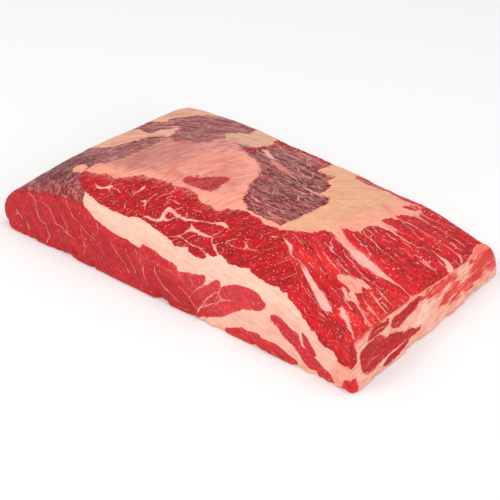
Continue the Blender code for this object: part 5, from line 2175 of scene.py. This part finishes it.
@dataclass(frozen=True)
class Flecks:
    """Small flecks of fat that stand out of the cut lean, strewn along its fibres."""

    piece: str = "flecks_of_fat"
    slot: str = "seam_fat"
    per_square_metre: float = 46000.0
    length: float = 1.15
    width: float = 0.42
    thickness: float = 0.2
    least_scale: float = 0.55
    bead_radius: float = 0.5
    bead_levels: int = 1
    seed: int = 4
    roughness: float = 0.24
    specular: float = 0.4

    def material(self) -> bpy.types.Material:
        """Pale wet fat."""
        return plain_material("fleck_finish", Hue.FLECK_AND_GLINT.linear(), self.roughness, self.specular)

    def tree(self) -> bpy.types.NodeTree:
        """The tree that strews flecks over two pieces by their room and course."""
        tree = bpy.data.node_groups.new("strewn_flecks", "GeometryNodeTree")
        kinds = (
            ("Flat", "Object"), ("Point", "Object"), ("Density", "Float"), ("Size", "Vector"),
            ("Least Scale", "Float"), ("Seed", "Int"), ("Material", "Material"),
        )
        for name, kind in kinds:
            tree.interface.new_socket(name, in_out="INPUT", socket_type="NodeSocket" + kind)
        tree.interface.new_socket("Geometry", in_out="OUTPUT", socket_type="NodeSocketGeometry")
        draft = Draft(tree)
        given = draft.add("NodeGroupInput").outputs
        joined = draft.add("GeometryNodeJoinGeometry")
        for name in ("Flat", "Point"):
            info = draft.add("GeometryNodeObjectInfo")
            draft.feed(info.inputs["Object"], given[name])
            draft.feed(joined.inputs[0], info.outputs["Geometry"])

        room = draft.add("GeometryNodeInputNamedAttribute", data_type="FLOAT")
        draft.feed(room.inputs["Name"], "room")
        strewn = draft.add("GeometryNodeDistributePointsOnFaces", distribute_method="RANDOM")
        draft.feed(strewn.inputs["Mesh"], joined.outputs[0])
        draft.feed(strewn.inputs["Density"], draft.maths("MULTIPLY", room.outputs[0], given["Density"]))
        draft.feed(strewn.inputs["Seed"], given["Seed"])

        course = draft.add("GeometryNodeInputNamedAttribute", data_type="FLOAT_VECTOR")
        draft.feed(course.inputs["Name"], "course")
        turn = draft.add("FunctionNodeAlignRotationToVector", axis="X", pivot_axis="Z")
        draft.feed(turn.inputs["Rotation"], strewn.outputs["Rotation"])
        draft.feed(turn.inputs["Vector"], course.outputs[0])

        bead = draft.add("GeometryNodeMeshIcoSphere")
        draft.feed(bead.inputs["Radius"], self.bead_radius)
        draft.feed(bead.inputs["Subdivisions"], self.bead_levels)
        smooth = draft.add("GeometryNodeSetShadeSmooth")
        draft.feed(smooth.inputs["Geometry"], bead.outputs["Mesh"])
        scale = draft.add("FunctionNodeRandomValue", data_type="FLOAT")
        floats = [socket for socket in scale.inputs if socket.type == "VALUE"]
        draft.feed(floats[0], given["Least Scale"])
        draft.feed(scale.inputs["Seed"], given["Seed"])
        chosen = [socket for socket in scale.outputs if socket.type == "VALUE"][0]
        laid = draft.add("GeometryNodeInstanceOnPoints")
        draft.feed(laid.inputs["Points"], strewn.outputs["Points"])
        draft.feed(laid.inputs["Instance"], smooth.outputs[0])
        draft.feed(laid.inputs["Rotation"], turn.outputs[0])
        draft.feed(laid.inputs["Scale"], Wire(draft, given["Size"]).toned(chosen))
        real = draft.add("GeometryNodeRealizeInstances")
        draft.feed(real.inputs[0], laid.outputs[0])
        dressed = draft.add("GeometryNodeSetMaterial")
        draft.feed(dressed.inputs["Geometry"], real.outputs[0])
        draft.feed(dressed.inputs["Material"], given["Material"])
        draft.feed(draft.add("NodeGroupOutput").inputs[0], dressed.outputs[0])
        return tree

    def build(self, flat: bpy.types.Object, point: bpy.types.Object) -> bpy.types.Object:
        """Strews the flecks over the two muscles.

        Args:
            flat: The flat muscle.
            point: The point muscle.

        Returns:
            The piece.
        """
        tree = self.tree()
        host = object_of("fleck_host", bpy.data.meshes.new("fleck_host"))
        strew = host.modifiers.new("strew", "NODES")
        strew.node_group = tree
        values = {
            "Flat": flat, "Point": point, "Density": self.per_square_metre,
            "Size": [side * MM for side in (self.length, self.width, self.thickness)],
            "Least Scale": self.least_scale, "Seed": self.seed, "Material": self.material(),
        }
        for item in tree.interface.items_tree:
            if item.in_out == "INPUT":
                strew[item.identifier] = values[item.name]
        mesh = evaluated_mesh(host)
        mesh.name = self.piece
        bpy.data.objects.remove(host)
        bpy.data.node_groups.remove(tree)
        piece = object_of(self.piece, mesh)
        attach(piece, BODY)
        return piece


@dataclass(frozen=True)
class Studio:
    """Pale floor, soft lights and the camera."""

    floor_size: float = 6.0
    floor_tone: float = 0.95
    floor_roughness: float = 0.9
    floor_specular: float = 0.1
    world_tone: float = 1.0
    world_strength: float = 0.635
    azimuth: float = 37.967
    elevation: float = 35.0
    distance: float = 1.041198
    target: tuple = (0.029865, -0.033936, 0.030)
    focal_pixels: float = 1500.0
    image_width: float = 500.0
    sensor: float = 36.0
    nearest: float = 0.05
    lights: tuple = (
        ("key_light", (-0.55, -0.75, 1.10), 0.6, 5.6),
        ("top_light", (0.25, 0.25, 1.30), 0.8, 3.6),
        ("side_light", (1.25, -0.45, 0.60), 0.7, 3.8),
    )

    def floor(self) -> bpy.types.Object:
        """A wide pale floor under the meat."""
        work = bmesh.new()
        bmesh.ops.create_grid(work, x_segments=1, y_segments=1, size=self.floor_size / 2.0)
        mesh = bpy.data.meshes.new("floor")
        work.to_mesh(mesh)
        work.free()
        tone = [self.floor_tone] * 3
        mesh.materials.append(plain_material("pale_floor", tone, self.floor_roughness, self.floor_specular))
        item = object_of("floor", mesh)
        item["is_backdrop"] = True
        return item

    def light(self, name: str, place: tuple, size: float, power: float) -> bpy.types.Object:
        """A soft square light that looks at the meat."""
        lamp = bpy.data.lights.new(name, "AREA")
        lamp.size = size
        lamp.energy = power
        item = bpy.data.objects.new(name, lamp)
        bpy.context.scene.collection.objects.link(item)
        item.location = place
        item.rotation_euler = (Vector(self.target) - Vector(place)).to_track_quat("-Z", "Y").to_euler()
        return item

    def surroundings(self) -> None:
        """An even white world."""
        world = bpy.data.worlds.new("studio")
        world.use_nodes = True
        background = world.node_tree.nodes["Background"]
        background.inputs["Color"].default_value = (*[self.world_tone] * 3, 1.0)
        background.inputs["Strength"].default_value = self.world_strength
        bpy.context.scene.world = world
        bpy.context.scene.view_settings.view_transform = "Standard"

    def camera(self) -> bpy.types.Object:
        """The camera at the photograph's viewing angle."""
        turn, rise = math.radians(self.azimuth), math.radians(self.elevation)
        back = Vector((
            math.sin(turn) * math.cos(rise), -math.cos(turn) * math.cos(rise), math.sin(rise),
        ))
        lens = bpy.data.cameras.new("camera")
        lens.sensor_width = self.sensor
        lens.lens = self.focal_pixels * self.sensor / self.image_width
        lens.clip_start = self.nearest
        item = bpy.data.objects.new("camera", lens)
        bpy.context.scene.collection.objects.link(item)
        item.location = Vector(self.target) + back * self.distance
        item.rotation_mode = "QUATERNION"
        item.rotation_quaternion = (-back).to_track_quat("-Z", "Y")
        bpy.context.scene.camera = item
        return item

    def build(self) -> None:
        """Sets the whole studio up."""
        self.floor()
        self.surroundings()
        for name, place, size, power in self.lights:
            self.light(name, place, size, power)
        self.camera()


def main() -> None:
    """Builds the studio and the brisket."""
    logging.basicConfig(level=logging.INFO, format="%(message)s")
    cad_low, cad_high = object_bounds()
    low, high = (tuple(np.array(corner) / MM) for corner in (cad_low, cad_high))
    Studio().build()

    form = SlabForm()
    skin = SkinMaker(form, low, high).make()
    log.info("surface of the slab: %d points, %d faces", len(skin.places), len(skin.faces))
    block = MeatBlock(form, skin, Relief(), low, high)
    layer_forms = LayerForms(form)
    forms = {
        "flat": layer_forms.flat(),
        "point": layer_forms.point(),
        "membrane": layer_forms.sheet("membrane_form", MEMBRANE_PLAN),
        "cap": layer_forms.sheet("cap_form", CAP_PLAN),
    }
    pieces = {}
    for layer in (FlatMuscle(), SeamFat(), PointMuscle(), MembraneFat(), CapFat()):
        pieces[layer.slot] = layer.build(block, forms, MeatFinish(layer.slot + "_finish"))
    pieces["flecks"] = Flecks().build(pieces["flat_lean"], pieces["point_lean"])
    for piece in pieces.values():
        log.info("%s: %d faces", piece.name, len(piece.data.polygons))
    for item in forms.values():
        bpy.data.objects.remove(item)


if __name__ == "__main__":
    main()
